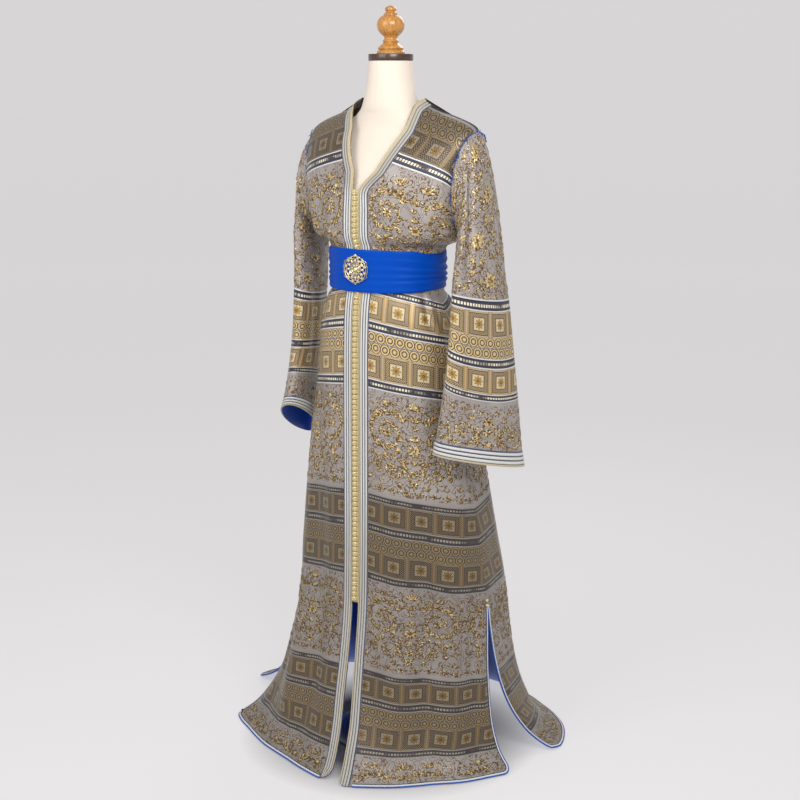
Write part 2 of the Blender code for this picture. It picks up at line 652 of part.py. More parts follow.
def make_buckle(belt_face):
    """A lobed cast plate on the sash, with a raised turned rosette."""
    outline = bpy.data.curves.new("buckle_plate", "CURVE")
    outline.dimensions = "2D"
    outline.fill_mode = "BOTH"
    outline.extrude = 0.5 * BUCKLE_PLATE
    spline = outline.splines.new("POLY")
    count = 96
    spline.points.add(count - 1)
    spline.use_cyclic_u = True
    for k in range(count):
        turn = 2.0 * math.pi * k / count
        radius = BUCKLE_RADIUS + BUCKLE_LOBE * math.cos(12.0 * turn)
        spline.points[k].co = (radius * math.sin(turn), radius * math.cos(turn), 0.0, 1.0)
    height = 0.5 * (BELT_BOTTOM + BELT_TOP)
    plate = add_object("buckle_plate", outline, "gold")
    plate.rotation_euler = (math.radians(90), 0.0, 0.0)
    back = belt_face - 2.0 * GAP
    plate.location = (0.0, back - 0.5 * BUCKLE_PLATE, height)
    front = back - BUCKLE_PLATE - GAP
    profile = [(0.0040, 0.0050), (0.0055, 0.0046), (0.0065, 0.0030), (0.0095, 0.0030),
               (0.0110, 0.0042), (0.0125, 0.0030), (0.0135, 0.0)]
    boss = turned("buckle_rosette", profile, "gold", (0.0, front, height))
    boss.rotation_euler = (math.radians(90), 0.0, 0.0)


def form_ring(z, half_x, front_y, back_y, roundness, count=48):
    turn = np.linspace(0.0, 2.0 * math.pi, count, endpoint=False)
    x = half_x * np.sign(np.sin(turn)) * np.abs(np.sin(turn)) ** roundness
    reach = np.where(np.cos(turn) > 0, front_y, back_y)
    y = reach * np.abs(np.cos(turn)) ** roundness
    return [(float(a), float(b), z) for a, b in zip(x, y)]


def make_dress_form():
    closed_loft("dress_form", [form_ring(*row) for row in FORM_ROWS], "linen")
    axis = (0.0, 0.0, 0.0)
    edge = 0.0020
    cap = [(CAP_RADIUS - edge, CAP_TOP), (CAP_RADIUS, CAP_TOP - edge),
           (CAP_RADIUS, CAP_BOTTOM + edge), (CAP_RADIUS - edge, CAP_BOTTOM)]
    turned("neck_cap", cap, "dark_wood", axis)
    turned("finial", FINIAL_PROFILE, "wood", (0.0, 0.0, CAP_TOP))
    form_bottom = FORM_ROWS[0][0]
    pole = [(POLE_RADIUS, form_bottom - GAP), (POLE_RADIUS, FOOT_HEIGHT + GAP)]
    turned("pole", pole, "steel", (0.0, 0.0, 0.0), 32)
    foot = [(0.030, FOOT_HEIGHT), (0.036, 0.018), (0.110, 0.012), (0.134, 0.009),
            (FOOT_RADIUS, 0.004), (FOOT_RADIUS, 0.0)]
    turned("foot", foot, "steel", (0.0, 0.0, 0.0), 48)


PARTS = bpy.data.collections.new("moroccan_kaftan")


def main():
    clear_scene()
    bpy.context.scene.collection.children.link(PARTS)
    make_dress_form()
    grids, normals = make_panels()
    make_cloth(grids, normals)
    make_neck_trim(grids, normals)
    make_button_braid()
    make_sleeves(grids)
    make_buckle(make_belt())


main()
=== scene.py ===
import math
import random

import bmesh
import bpy
import numpy as np
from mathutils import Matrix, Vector


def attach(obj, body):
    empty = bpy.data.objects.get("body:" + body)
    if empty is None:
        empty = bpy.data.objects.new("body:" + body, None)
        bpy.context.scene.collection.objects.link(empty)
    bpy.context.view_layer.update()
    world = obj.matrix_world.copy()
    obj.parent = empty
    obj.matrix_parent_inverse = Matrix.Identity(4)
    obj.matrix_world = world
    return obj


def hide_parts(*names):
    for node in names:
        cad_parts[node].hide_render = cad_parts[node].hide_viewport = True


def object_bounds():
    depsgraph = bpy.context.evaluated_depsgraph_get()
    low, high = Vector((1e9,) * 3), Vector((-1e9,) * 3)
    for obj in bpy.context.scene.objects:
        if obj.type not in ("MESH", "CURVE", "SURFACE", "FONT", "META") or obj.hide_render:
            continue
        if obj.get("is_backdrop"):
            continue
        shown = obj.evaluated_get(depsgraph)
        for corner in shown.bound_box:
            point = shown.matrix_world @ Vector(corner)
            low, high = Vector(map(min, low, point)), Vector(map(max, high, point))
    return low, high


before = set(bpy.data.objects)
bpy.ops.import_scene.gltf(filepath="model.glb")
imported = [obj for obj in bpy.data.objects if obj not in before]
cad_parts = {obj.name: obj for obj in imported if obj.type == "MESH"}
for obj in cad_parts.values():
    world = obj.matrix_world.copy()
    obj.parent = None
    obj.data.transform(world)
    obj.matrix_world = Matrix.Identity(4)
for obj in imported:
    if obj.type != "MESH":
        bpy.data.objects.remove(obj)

cad_box = [[float(x) for x in corner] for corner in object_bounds()]


# ------------------------------------------------------------------ studio
# A pale floor that sweeps up all round, soft light from the wearer's right and above,
# and the camera at chest height, looking a little down at the wearer's left front.
CAMERA_DISTANCE, CAMERA_HEIGHT = 3.3, 1.508
CAMERA_AZIMUTH, CAMERA_DIP = math.radians(36.0), math.radians(12.1)
CAMERA_TURN = math.radians(0.345)
CAMERA_SENSOR, CAMERA_LENS = 36.0, 67.2
FLOOR_DROP = 0.0006
LIGHTS_AIM = (0.0, 0.0, 1.15)


def placed(name, data):
    """A new object in the scene."""
    made = bpy.data.objects.new(name, data)
    bpy.context.scene.collection.objects.link(made)
    return made


camera = placed("camera", bpy.data.cameras.new("camera"))
camera.location = (CAMERA_DISTANCE * math.sin(CAMERA_AZIMUTH),
                   -CAMERA_DISTANCE * math.cos(CAMERA_AZIMUTH), CAMERA_HEIGHT)
camera.rotation_euler = (math.radians(90) - CAMERA_DIP, 0.0, CAMERA_AZIMUTH - CAMERA_TURN)
camera.data.sensor_width = CAMERA_SENSOR
camera.data.lens = CAMERA_LENS
bpy.context.scene.camera = camera

floor_mesh = bpy.data.meshes.new("floor")
sweep = [(9.0 + 3.0 * math.sin(t), 3.0 - 3.0 * math.cos(t)) for t in np.linspace(1.4, 0.0, 9)]
sweep = [(radius, height - FLOOR_DROP) for radius, height in sweep] + [(0.0, -FLOOR_DROP)]
floor_mesh.from_pydata([(r, 0.0, h) for r, h in sweep],
                       [(k, k + 1) for k in range(len(sweep) - 1)], [])
floor = placed("floor", floor_mesh)
floor_turn = floor.modifiers.new("Turn", "SCREW")
floor_turn.steps = floor_turn.render_steps = 96
floor_turn.use_merge_vertices = True
floor_turn.merge_threshold = 0.0001
floor_turn.use_smooth_shade = True
paper = bpy.data.materials.new("studio_paper")
paper.use_nodes = True
nodes, links = paper.node_tree.nodes, paper.node_tree.links
coat = nodes["Principled BSDF"].inputs
for socket, value in (("Base Color", (0.30, 0.295, 0.296, 1.0)), ("Roughness", 0.9),
                      ("Emission Color", (1.0, 0.98, 0.985, 1.0)), ("Specular IOR Level", 0.1)):
    coat[socket].default_value = value
# the sweep's even glow fades out under the garment's hem: painted shade where the light can't
# reach
place = nodes.new("ShaderNodeTexCoord")
reach = nodes.new("ShaderNodeVectorMath")
reach.operation = "LENGTH"
hem_shade_fade = nodes.new("ShaderNodeMapRange")
for socket, value in zip(hem_shade_fade.inputs[1:5], (0.20, 0.36, 0.0, 0.515)):
    socket.default_value = value
links.new(place.outputs["Object"], reach.inputs[0])
links.new(reach.outputs["Value"], hem_shade_fade.inputs[0])
links.new(hem_shade_fade.outputs[0], coat["Emission Strength"])
floor_mesh.materials.append(paper)
floor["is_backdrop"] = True

for name, energy, size, azimuth, height, distance in (
        # the big key, a weaker fill and a light behind for the shoulders
        ("key_light", 35.0, 1.1, 50.0, 2.35, 1.9),
        ("fill_light", 21.0, 1.3, -10.0, 2.2, 2.0),
        ("back_light", 12.0, 1.2, 190.0, 2.5, 2.0)):
    lamp = bpy.data.lights.new(name, "AREA")
    lamp.energy = energy
    lamp.size = size
    holder = placed(name, lamp)
    turn = math.radians(azimuth)
    holder.location = (distance * math.sin(turn), -distance * math.cos(turn), height)
    aim = Vector(LIGHTS_AIM) - holder.location
    holder.rotation_euler = aim.to_track_quat("-Z", "Y").to_euler()

world = bpy.data.worlds.new("studio")
world.use_nodes = True
sky = world.node_tree.nodes["Background"].inputs
sky["Color"].default_value = (1.0, 0.995, 0.99, 1.0)
sky["Strength"].default_value = 0.46
bpy.context.scene.world = world
bpy.context.scene.view_settings.view_transform = "Standard"


# ------------------------------------------------------------------ the cut
# The kaftan has two fronts that meet edge to edge, a back, and two set-in sleeves. Each
# panel is a surface through rows from the shoulders to the hem, in the frame's metres.
CLOTH, LINING, GAP = 0.0018, 0.0010, 0.0003
BRAID_HALF = 0.0082
FRONT_EDGE = BRAID_HALF + 0.0005
SLIT_TOP = 0.36
FRONT_STEPS, HALF_BACK_STEPS = 161, 121
BACK_BOW = 1.1
BACK_NECK = 0.010
FRONT_TABLE = (
    # in_z, in_x, in_y, out_z, out_x, out_y, bow, back_out_y, back_y, back_z
    (1.470, 0.083, 0.010, 1.402, 0.215, 0.020, 2.00, 0.020, 0.060, 1.461),
    (1.459, 0.082, -0.020, 1.394, 0.210, -0.008, 1.85, 0.045, 0.076, 1.438),
    (1.432, 0.076, -0.050, 1.371, 0.203, -0.030, 1.55, 0.063, 0.094, 1.406),
    (1.393, 0.063, -0.084, 1.336, 0.197, -0.045, 1.25, 0.074, 0.108, 1.362),
    (1.356, 0.046, -0.107, 1.298, 0.192, -0.050, 1.08, 0.078, 0.117, 1.318),
    (1.318, 0.026, -0.121, 1.258, 0.188, -0.046, 0.98, 0.072, 0.120, 1.272),
    (1.283, FRONT_EDGE, -0.127, 1.220, 0.184, -0.034, 0.93, 0.056, 0.118, 1.230),
    (1.238, FRONT_EDGE, -0.129, 1.194, 0.179, -0.016, 0.90, 0.030, 0.114, 1.206),
    (1.200, FRONT_EDGE, -0.130, 1.176, 0.173, 0.000, 0.90, 0.000, 0.111, 1.186),
    (1.180, FRONT_EDGE, -0.1290, 1.168, 0.159, -0.002, 0.92, -0.002, 0.106, 1.174),
    (1.168, FRONT_EDGE, -0.1245, 1.161, 0.141, -0.005, 0.95, -0.005, 0.099, 1.166),
    (1.157, FRONT_EDGE, -0.1207, 1.156, 0.1295, -0.008, 0.96, -0.008, 0.093, 1.157),
    (1.108, FRONT_EDGE, -0.1200, 1.108, 0.127, -0.010, 0.96, -0.010, 0.091, 1.108),
    (1.058, FRONT_EDGE, -0.1207, 1.058, 0.1295, -0.008, 0.96, -0.008, 0.093, 1.058),
    (1.046, FRONT_EDGE, -0.1235, 1.044, 0.137, -0.005, 0.94, -0.005, 0.101, 1.044),
    (1.010, FRONT_EDGE, -0.1280, 1.006, 0.150, -0.002, 0.92, -0.002, 0.118, 1.008),
    (0.940, FRONT_EDGE, -0.1310, 0.940, 0.165, 0.000, 0.92, 0.000, 0.138, 0.940),
    (0.860, FRONT_EDGE, -0.1320, 0.860, 0.176, 0.002, 0.92, 0.002, 0.155, 0.860),
    (0.770, FRONT_EDGE, -0.1325, 0.770, 0.189, 0.004, 0.94, 0.004, 0.172, 0.770),
    (0.680, FRONT_EDGE, -0.1330, 0.680, 0.205, 0.006, 0.96, 0.006, 0.190, 0.680),
    (0.590, FRONT_EDGE, -0.1335, 0.590, 0.220, 0.009, 0.97, 0.009, 0.208, 0.590),
    (0.500, FRONT_EDGE, -0.1345, 0.500, 0.233, 0.013, 0.98, 0.013, 0.228, 0.500),
    (0.430, FRONT_EDGE, -0.1360, 0.430, 0.243, 0.017, 0.98, 0.017, 0.244, 0.430),
    (SLIT_TOP, FRONT_EDGE, -0.1385, SLIT_TOP, 0.250, 0.021, 0.98, 0.021, 0.262, SLIT_TOP),
)
LOWER_ROWS = {
    "left": (
        # z, in_x, in_y, out_x, out_y, bow
        (0.300, 0.0100, -0.146, 0.254, 0.018, 1.00),
        (0.230, 0.0160, -0.163, 0.259, 0.012, 1.04),
        (0.160, 0.0270, -0.187, 0.268, 0.005, 1.12),
        (0.100, 0.0420, -0.217, 0.281, -0.003, 1.26),
        (0.052, 0.0545, -0.250, 0.301, -0.011, 1.40),
        (0.024, 0.0650, -0.276, 0.323, -0.018, 1.50),
        (0.0038, 0.0760, -0.303, 0.350, -0.025, 1.55),
    ),
    "right": (
        (0.300, 0.0060, -0.148, 0.248, -0.012, 1.00),
        (0.230, 0.0000, -0.167, 0.251, -0.040, 1.02),
        (0.160, -0.0080, -0.192, 0.264, -0.058, 1.08),
        (0.100, -0.0210, -0.221, 0.285, -0.074, 1.20),
        (0.052, -0.0330, -0.252, 0.311, -0.096, 1.35),
        (0.024, -0.0410, -0.277, 0.334, -0.115, 1.45),
        (0.0038, -0.0480, -0.303, 0.360, -0.136, 1.50),
    ),
    "back": (
        # z, left_x, left_y, right_x, right_y, mid_y, bow
        (0.300, 0.255, 0.026, 0.256, 0.010, 0.268, 0.99),
        (0.230, 0.260, 0.038, 0.269, 0.006, 0.278, 1.00),
        (0.160, 0.270, 0.054, 0.293, 0.008, 0.292, 1.02),
        (0.100, 0.288, 0.072, 0.330, 0.018, 0.312, 1.05),
        (0.052, 0.314, 0.092, 0.380, 0.034, 0.338, 1.10),
        (0.024, 0.342, 0.108, 0.424, 0.047, 0.364, 1.15),
        (0.0038, 0.374, 0.124, 0.472, 0.060, 0.396, 1.20),
    ),
}
SLEEVE_RINGS = {
    "left": (
        # front_x, front_y, front_z, back_x, back_y, back_z, puff, rise
        (0.218, -0.056, 1.262, 0.220, 0.066, 1.262, 0.017, 0.088),
        (0.224, -0.066, 1.214, 0.232, 0.066, 1.210, 0.023, 0.064),
        (0.228, -0.080, 1.152, 0.246, 0.064, 1.140, 0.028, 0.034),
        (0.228, -0.090, 1.085, 0.258, 0.062, 1.066, 0.030, 0.014),
        (0.226, -0.098, 1.000, 0.270, 0.062, 0.976, 0.031, 0.005),
        (0.222, -0.106, 0.910, 0.282, 0.064, 0.880, 0.032, 0.000),
        (0.214, -0.114, 0.825, 0.293, 0.068, 0.785, 0.033, -0.002),
        (0.207, -0.120, 0.765, 0.300, 0.071, 0.722, 0.034, -0.003),
        (0.202, -0.125, 0.728, 0.305, 0.074, 0.680, 0.035, -0.004),
    ),
    "right": (
        (0.216, -0.055, 1.262, 0.222, 0.066, 1.262, 0.017, 0.088),
        (0.213, -0.062, 1.214, 0.232, 0.067, 1.210, 0.023, 0.064),
        (0.205, -0.072, 1.152, 0.242, 0.068, 1.140, 0.027, 0.034),
        (0.197, -0.080, 1.085, 0.248, 0.069, 1.066, 0.028, 0.014),
        (0.194, -0.087, 1.000, 0.256, 0.070, 0.976, 0.029, 0.005),
        (0.196, -0.096, 0.915, 0.265, 0.070, 0.880, 0.030, 0.000),
        (0.199, -0.107, 0.848, 0.275, 0.069, 0.785, 0.031, -0.002),
        (0.201, -0.117, 0.806, 0.283, 0.067, 0.722, 0.032, -0.003),
        (0.202, -0.124, 0.785, 0.288, 0.066, 0.678, 0.033, -0.004),
    ),
}
# How far down the cloth's length the woven pattern has run at a height of the front edge.
PATTERN_RUN = ((1.470, -0.1080), (1.357, 0.0), (0.868, 0.44), (0.431, 0.88), (0.060, 1.32),
               (0.0038, 1.405))
NECK_SWING = ((1.283, 0.0), (1.320, 0.018), (1.410, 0.018), (1.455, 0.0))
LAST = len(FRONT_TABLE) + len(LOWER_ROWS["left"]) - 1
ROWS_FRONT = {side: [row[:7] for row in FRONT_TABLE]
              + [(z, in_x, in_y, z, out_x, out_y, bow)
                 for z, in_x, in_y, out_x, out_y, bow in LOWER_ROWS[side]]
              for side in ("left", "right")}
ROWS_BACK = [(row[3], row[4], row[7], row[4], row[7], row[8], row[9], row[6])
             for row in FRONT_TABLE]
ROWS_BACK += [(z, left_x, left_y, right_x, right_y, mid_y, z, bow)
              for z, left_x, left_y, right_x, right_y, mid_y, bow in LOWER_ROWS["back"]]
PANEL_NODES = (("left", "front_left"), ("right", "front_right"), ("back", "back"))


def smooth_rows(rows, place):
    """A row between the table's rows, on a smooth curve through them."""
    table = np.array(rows, dtype=float)
    index = min(int(place), len(rows) - 2)
    share = place - index
    before, after = table[max(index - 1, 0)], table[min(index + 2, len(rows) - 1)]
    start, end = table[index], table[index + 1]
    s2, s3 = share * share, share ** 3
    return ((2 * s3 - 3 * s2 + 1) * start + (s3 - 2 * s2 + share) * 0.5 * (end - before)
            + (3 * s2 - 2 * s3) * end + (s3 - s2) * 0.5 * (after - start))


def pattern_run(place):
    """The pattern's distance down the cloth at a place in the tables."""
    z = float(smooth_rows(ROWS_FRONT["left"], place)[0])
    levels, runs = zip(*PATTERN_RUN)
    return float(np.interp(-z, [-level for level in levels], runs))


def quarter(inner, outer, bow, steps):
    """Points from inner to outer on a quarter oval; bow 2 makes it straight."""
    angle = np.linspace(0.0, math.pi / 2, steps)
    return np.stack([inner[0] + (outer[0] - inner[0]) * np.sin(angle) ** bow,
                     outer[1] + (inner[1] - outer[1]) * np.cos(angle) ** bow,
                     inner[2] + (outer[2] - inner[2]) * angle / (math.pi / 2)], axis=1)


def front_curve(side, place):
    """A front's row from the placket to the side seam, on the wearer's left or right."""
    in_z, in_x, in_y, out_z, out_x, out_y, bow = smooth_rows(ROWS_FRONT[side], place)
    seam = GAP if place == 0 else 0.5 * GAP
    points = quarter((in_x, in_y - seam, in_z), (out_x, out_y - seam, out_z), bow,
                     FRONT_STEPS)
    if side == "right":
        points[:, 0] *= -1.0
    # the neck's opening hangs a little towards the wearer's left
    swing = float(np.interp(in_z, *zip(*NECK_SWING)))
    points[:, 0] += swing * (1.0 - np.linspace(0.0, 1.0, FRONT_STEPS)) ** 2
    return points


def shoulder_line(neck, share, tip, mid_y, mid_z):
    """Straight from the shoulder tip to the neck point, then round the back neck."""
    neck_z, neck_x, neck_y = neck[0], neck[1], max(neck[2], BACK_NECK) + GAP
    x = share * tip[0]
    turn = np.clip(x / neck_x, 0.0, 1.0)
    slope = np.clip((x - neck_x) / (tip[0] - neck_x), 0.0, 1.0)
    round_y = mid_y - (mid_y - neck_y) * turn ** 2.4
    round_z = mid_z + (neck_z - mid_z) * turn ** 2.0
    y = np.where(x > neck_x, neck_y + (tip[1] - neck_y) * slope, round_y)
    z = np.where(x > neck_x, neck_z + (tip[2] - neck_z) * slope, round_z)
    return np.stack([x, y, z], axis=1)


def back_curve(place):
    """The back's row from the left side seam to the right one."""
    out_z, left_x, left_y, right_x, right_y, mid_y, mid_z, bow = smooth_rows(ROWS_BACK, place)
    neck = smooth_rows(FRONT_TABLE, min(place, len(FRONT_TABLE) - 1.0))
    seam = GAP if place == 0 else 0.5 * GAP
    halves = []
    for x, y in ((left_x, left_y), (right_x, right_y)):
        tip = (x, y + seam, out_z)
        oval = quarter((0.0, mid_y, mid_z), tip, min(bow, BACK_BOW), HALF_BACK_STEPS)
        rise = max(0.0, 1.0 - place / 3.0)
        line = shoulder_line(neck, oval[:, 0] / x, tip, mid_y, mid_z)
        halves.append(oval * (1.0 - rise) + line * rise)
    halves[1][:, 0] *= -1.0
    return np.concatenate([halves[0][::-1], halves[1][1:]])


def run_along(points):
    """The distance of every point of a path from its start."""
    return np.concatenate([[0.0], np.cumsum(np.linalg.norm(np.diff(points, axis=0), axis=1))])


def resampled(points, count):
    """A row at even distances, and its length."""
    run = run_along(points)
    at = np.linspace(0.0, run[-1], count)
    return np.stack([np.interp(at, run, points[:, k]) for k in range(3)], axis=1), run[-1]


def unit(vectors):
    return vectors / np.maximum(np.linalg.norm(vectors, axis=-1, keepdims=True), 1e-9)


# ------------------------------------------------------------------ drape
# How the cloth hangs: the upright folds of the skirt, the blousing over the sash, the
# gathers under it, and slack drags from the shoulders. Runs are down the cloth in metres.
FOLDS = {
    # share of the width, spread, depth, height it starts at, height it is full at
    "left": ((0.30, 0.090, 0.007, 0.95, 0.45), (0.52, 0.070, -0.010, 0.90, 0.40),
             (0.70, 0.080, 0.009, 0.80, 0.30), (0.86, 0.050, -0.005, 0.60, 0.25)),
    "right": ((0.34, 0.080, -0.007, 0.90, 0.40), (0.56, 0.080, 0.009, 0.85, 0.35),
              (0.78, 0.070, -0.008, 0.70, 0.25)),
    "back": ((0.13, 0.040, 0.009, 0.95, 0.35), (0.24, 0.035, -0.011, 0.90, 0.30),
             (0.37, 0.045, 0.012, 1.00, 0.40), (0.50, 0.040, -0.012, 1.00, 0.35),
             (0.62, 0.045, 0.012, 1.00, 0.40), (0.75, 0.035, -0.011, 0.90, 0.30),
             (0.87, 0.040, 0.009, 0.95, 0.35)),
}
CREASES = {
    # from (u, v) to (u, v), half width, depth out of the cloth; u from the placket
    "left": (
        (0.060, 0.060, 0.085, 0.190, 0.016, 0.0018), (0.110, 0.040, 0.140, 0.200, 0.014, -0.0026),
        (0.150, 0.060, 0.165, 0.205, 0.012, 0.0030), (0.185, 0.070, 0.180, 0.210, 0.010, -0.0040),
        (0.070, 0.165, 0.170, 0.205, 0.010, 0.0024), (0.110, 0.185, 0.190, 0.218, 0.008, -0.0026),
        (0.140, 0.262, 0.165, 0.330, 0.007, -0.0036), (0.155, 0.262, 0.190, 0.370, 0.008, 0.0042),
        (0.170, 0.262, 0.196, 0.345, 0.007, -0.0050), (0.110, 0.262, 0.118, 0.320, 0.008, -0.0018),
        (0.080, 0.262, 0.084, 0.310, 0.009, 0.0014), (0.190, 0.275, 0.205, 0.420, 0.009, 0.0040),
        (0.060, 0.420, 0.110, 0.800, 0.022, -0.0030), (0.120, 0.480, 0.150, 0.860, 0.020, 0.0044),
        (0.165, 0.420, 0.205, 0.900, 0.018, -0.0046), (0.215, 0.480, 0.270, 1.000, 0.018, 0.0050),
        (0.095, 0.900, 0.130, 1.300, 0.026, 0.0040), (0.190, 0.860, 0.240, 1.300, 0.024, -0.0050),
        (0.280, 0.950, 0.330, 1.340, 0.022, 0.0040), (0.030, 0.700, 0.060, 1.150, 0.018, 0.0022),
        (0.200, 1.300, 0.214, 1.400, 0.012, -0.0030), (0.120, 1.330, 0.126, 1.400, 0.014, 0.0020)),
    "right": (
        (0.060, 0.050, 0.080, 0.200, 0.015, 0.0020), (0.100, 0.040, 0.120, 0.200, 0.013, -0.0030),
        (0.140, 0.050, 0.150, 0.205, 0.012, 0.0034), (0.180, 0.070, 0.170, 0.210, 0.011, -0.0040),
        (0.090, 0.170, 0.160, 0.210, 0.009, -0.0022), (0.080, 0.262, 0.086, 0.330, 0.009, 0.0020),
        (0.110, 0.262, 0.118, 0.350, 0.008, -0.0028), (0.140, 0.262, 0.155, 0.390, 0.008, 0.0034),
        (0.165, 0.262, 0.185, 0.350, 0.008, -0.0040), (0.060, 0.430, 0.080, 0.850, 0.020, 0.0026),
        (0.110, 0.400, 0.140, 0.900, 0.018, -0.0036), (0.160, 0.450, 0.210, 0.980, 0.018, 0.0042),
        (0.210, 0.520, 0.270, 1.050, 0.016, -0.0040), (0.080, 0.900, 0.110, 1.320, 0.024, -0.0036),
        (0.170, 0.900, 0.220, 1.320, 0.024, 0.0044), (0.270, 0.980, 0.320, 1.350, 0.020, -0.0036),
        (0.170, 1.300, 0.178, 1.400, 0.012, 0.0026)),
    "back": (
        # u from the middle of the back
        (-0.030, -0.020, -0.060, 0.200, 0.018, -0.0030),
        (0.035, 0.000, 0.070, 0.200, 0.018, 0.0032),
        (0.105, 0.040, 0.120, 0.205, 0.014, -0.0038),
        (-0.110, 0.030, -0.125, 0.205, 0.014, 0.0036),
        (-0.150, 0.060, -0.155, 0.205, 0.012, -0.0040),
        (0.155, 0.060, 0.150, 0.210, 0.012, 0.0040),
        (-0.140, 0.262, -0.160, 0.420, 0.010, 0.0046),
        (-0.105, 0.262, -0.120, 0.400, 0.010, -0.0048),
        (-0.060, 0.262, -0.070, 0.430, 0.011, 0.0050),
        (-0.020, 0.262, -0.024, 0.400, 0.010, -0.0046),
        (0.022, 0.262, 0.026, 0.440, 0.011, 0.0050), (0.065, 0.262, 0.078, 0.400, 0.010, -0.0048),
        (0.105, 0.262, 0.124, 0.430, 0.011, 0.0046), (0.145, 0.262, 0.165, 0.390, 0.010, -0.0042),
        (-0.180, 0.500, -0.260, 1.050, 0.020, 0.0050),
        (0.185, 0.520, 0.270, 1.050, 0.020, -0.0050),
        (-0.090, 0.520, -0.130, 1.150, 0.020, -0.0050),
        (0.085, 0.480, 0.120, 1.150, 0.020, 0.0050)),
    "sleeve_left": (
        # u round the sleeve from the middle of its outer side, forwards
        (0.052, -0.02, 0.060, 0.26, 0.0075, -0.0065), (0.072, -0.02, 0.084, 0.30, 0.012, 0.0060),
        (0.020, 0.03, 0.012, 0.22, 0.016, 0.0022), (-0.040, 0.02, -0.055, 0.25, 0.016, -0.0040),
        (-0.020, 0.28, -0.030, 0.62, 0.020, 0.0026), (0.045, 0.32, 0.055, 0.64, 0.018, -0.0026),
        (-0.075, 0.20, -0.095, 0.60, 0.016, 0.0036), (0.130, 0.12, 0.180, 0.50, 0.014, -0.0040)),
    "sleeve_right": (
        (0.048, 0.00, 0.055, 0.24, 0.009, -0.0050), (0.020, 0.04, 0.012, 0.30, 0.014, 0.0034),
        (0.075, 0.10, 0.085, 0.40, 0.012, 0.0040), (-0.035, 0.03, -0.050, 0.26, 0.014, -0.0036),
        (0.030, 0.30, 0.034, 0.60, 0.016, -0.0030), (-0.075, 0.20, -0.095, 0.55, 0.016, 0.0034),
        (0.130, 0.12, 0.170, 0.50, 0.014, -0.0040)),
}


def eased(share):
    """A share from 0 to 1 with a soft start and end."""
    return share * share * (3.0 - 2.0 * share)


def fold_push(side, share, z):
    """How far the big folds push the cloth out at a share of its width."""
    push = np.zeros_like(share)
    for place, spread, depth, z_top, z_full in FOLDS[side]:
        grown = np.clip((z_top - z) / (z_top - z_full), 0.0, 1.0)
        settled = np.clip(z / 0.10, 0.25, 1.0)
        push += depth * grown * settled * np.exp(-((share - place) / spread) ** 2)
    return push


def crease_push(side, u, v):
    """How far the listed creases push it, fading at both of their ends."""
    push = np.zeros_like(u)
    for u0, v0, u1, v1, half, depth in CREASES[side]:
        along = np.clip((v - v0) / (v1 - v0), 0.0, 1.0)
        across = (u - (u0 + (u1 - u0) * along)) / half
        ends = np.clip((v - v0) / (0.22 * (v1 - v0)), 0.0, 1.0) * np.clip(
            (v1 - v) / (0.30 * (v1 - v0)), 0.0, 1.0)
        push += depth * eased(ends) * np.exp(-across ** 2)
    return push


def pattern_lag(side, share, run):
    """How much lower the woven bands lie towards the side seams than at the front."""
    if side == "back":
        share = np.abs(2.0 * share - 1.0)
    size = np.interp(run, [0.15, 0.26, 0.95, 1.32, 1.41], [0.0, 0.040, 0.038, 0.018, 0.010])
    return size * share ** 1.3


def blouse(side, share, z):
    """How far the bodice's slack bags out and down over the sash at the sides."""
    if side == "back":
        share = np.abs(2.0 * share - 1.0)
    size = np.interp(z, [1.128, 1.146, 1.162, 1.188, 1.215, 1.250],
                     [0.0, 0.004, 0.0110, 0.0095, 0.004, 0.0])
    return eased(np.clip((share - 0.45) / 0.45, 0.0, 1.0)) * size


def grid_normals(grid, inside):
    """Unit normals of a grid of points, away from a point inside the garment."""
    normals = unit(np.cross(np.gradient(grid, axis=1), np.gradient(grid, axis=0)))
    row = len(grid) // 2
    facing = np.sum((normals[row] * (grid[row] - inside))[:, :2])
    return normals if facing > 0 else -normals


# ------------------------------------------------------------------ panels
# The three body panels as fine grids: points, normals, and u across and v down the cloth.
PANEL_ROWS = 216
PANEL_COLUMNS = {"left": 78, "right": 78, "back": 120}
SHOULDER_ROWS, SHOULDER_REACH = 20, 0.06
HEM_ROWS, HEM_LEVEL = 12, 0.0034
INSIDE = np.array([0.0, 0.03, 0.0])
SLIT_PLACE, LINING_PLACE = 23.0, 21.0
dense = np.linspace(0.0, LAST, 1501)
dense_run = np.array([pattern_run(place) for place in dense])
RUN_TOP, RUN_HEM = dense_run[0], dense_run[-1]
CORNERS = {"left": (0.012, 0.022), "right": (0.034, 0.022), "back": (0.022, 0.022)}


def round_corner(grid, row_from, from_start, radius):
    """Round the hem corner of a panel by drawing its points in towards the inside."""
    rows, columns = grid.shape[:2]
    column = 0 if from_start else columns - 1
    corner = grid[rows - 1, column].copy()
    up = unit(grid[row_from, column] - corner)
    side = unit(grid[rows - 1, columns // 2] - corner)
    for i in range(row_from, rows):
        for j in range(columns):
            offset = grid[i, j] - corner
            a, b = float(offset @ side), float(offset @ up)
            if a < radius and b < radius:
                px, py = radius - max(a, 0.0), radius - max(b, 0.0)
                pull = max(px, py) / math.hypot(px, py)
                grid[i, j] += (px - px * pull) * side + (py - py * pull) * up


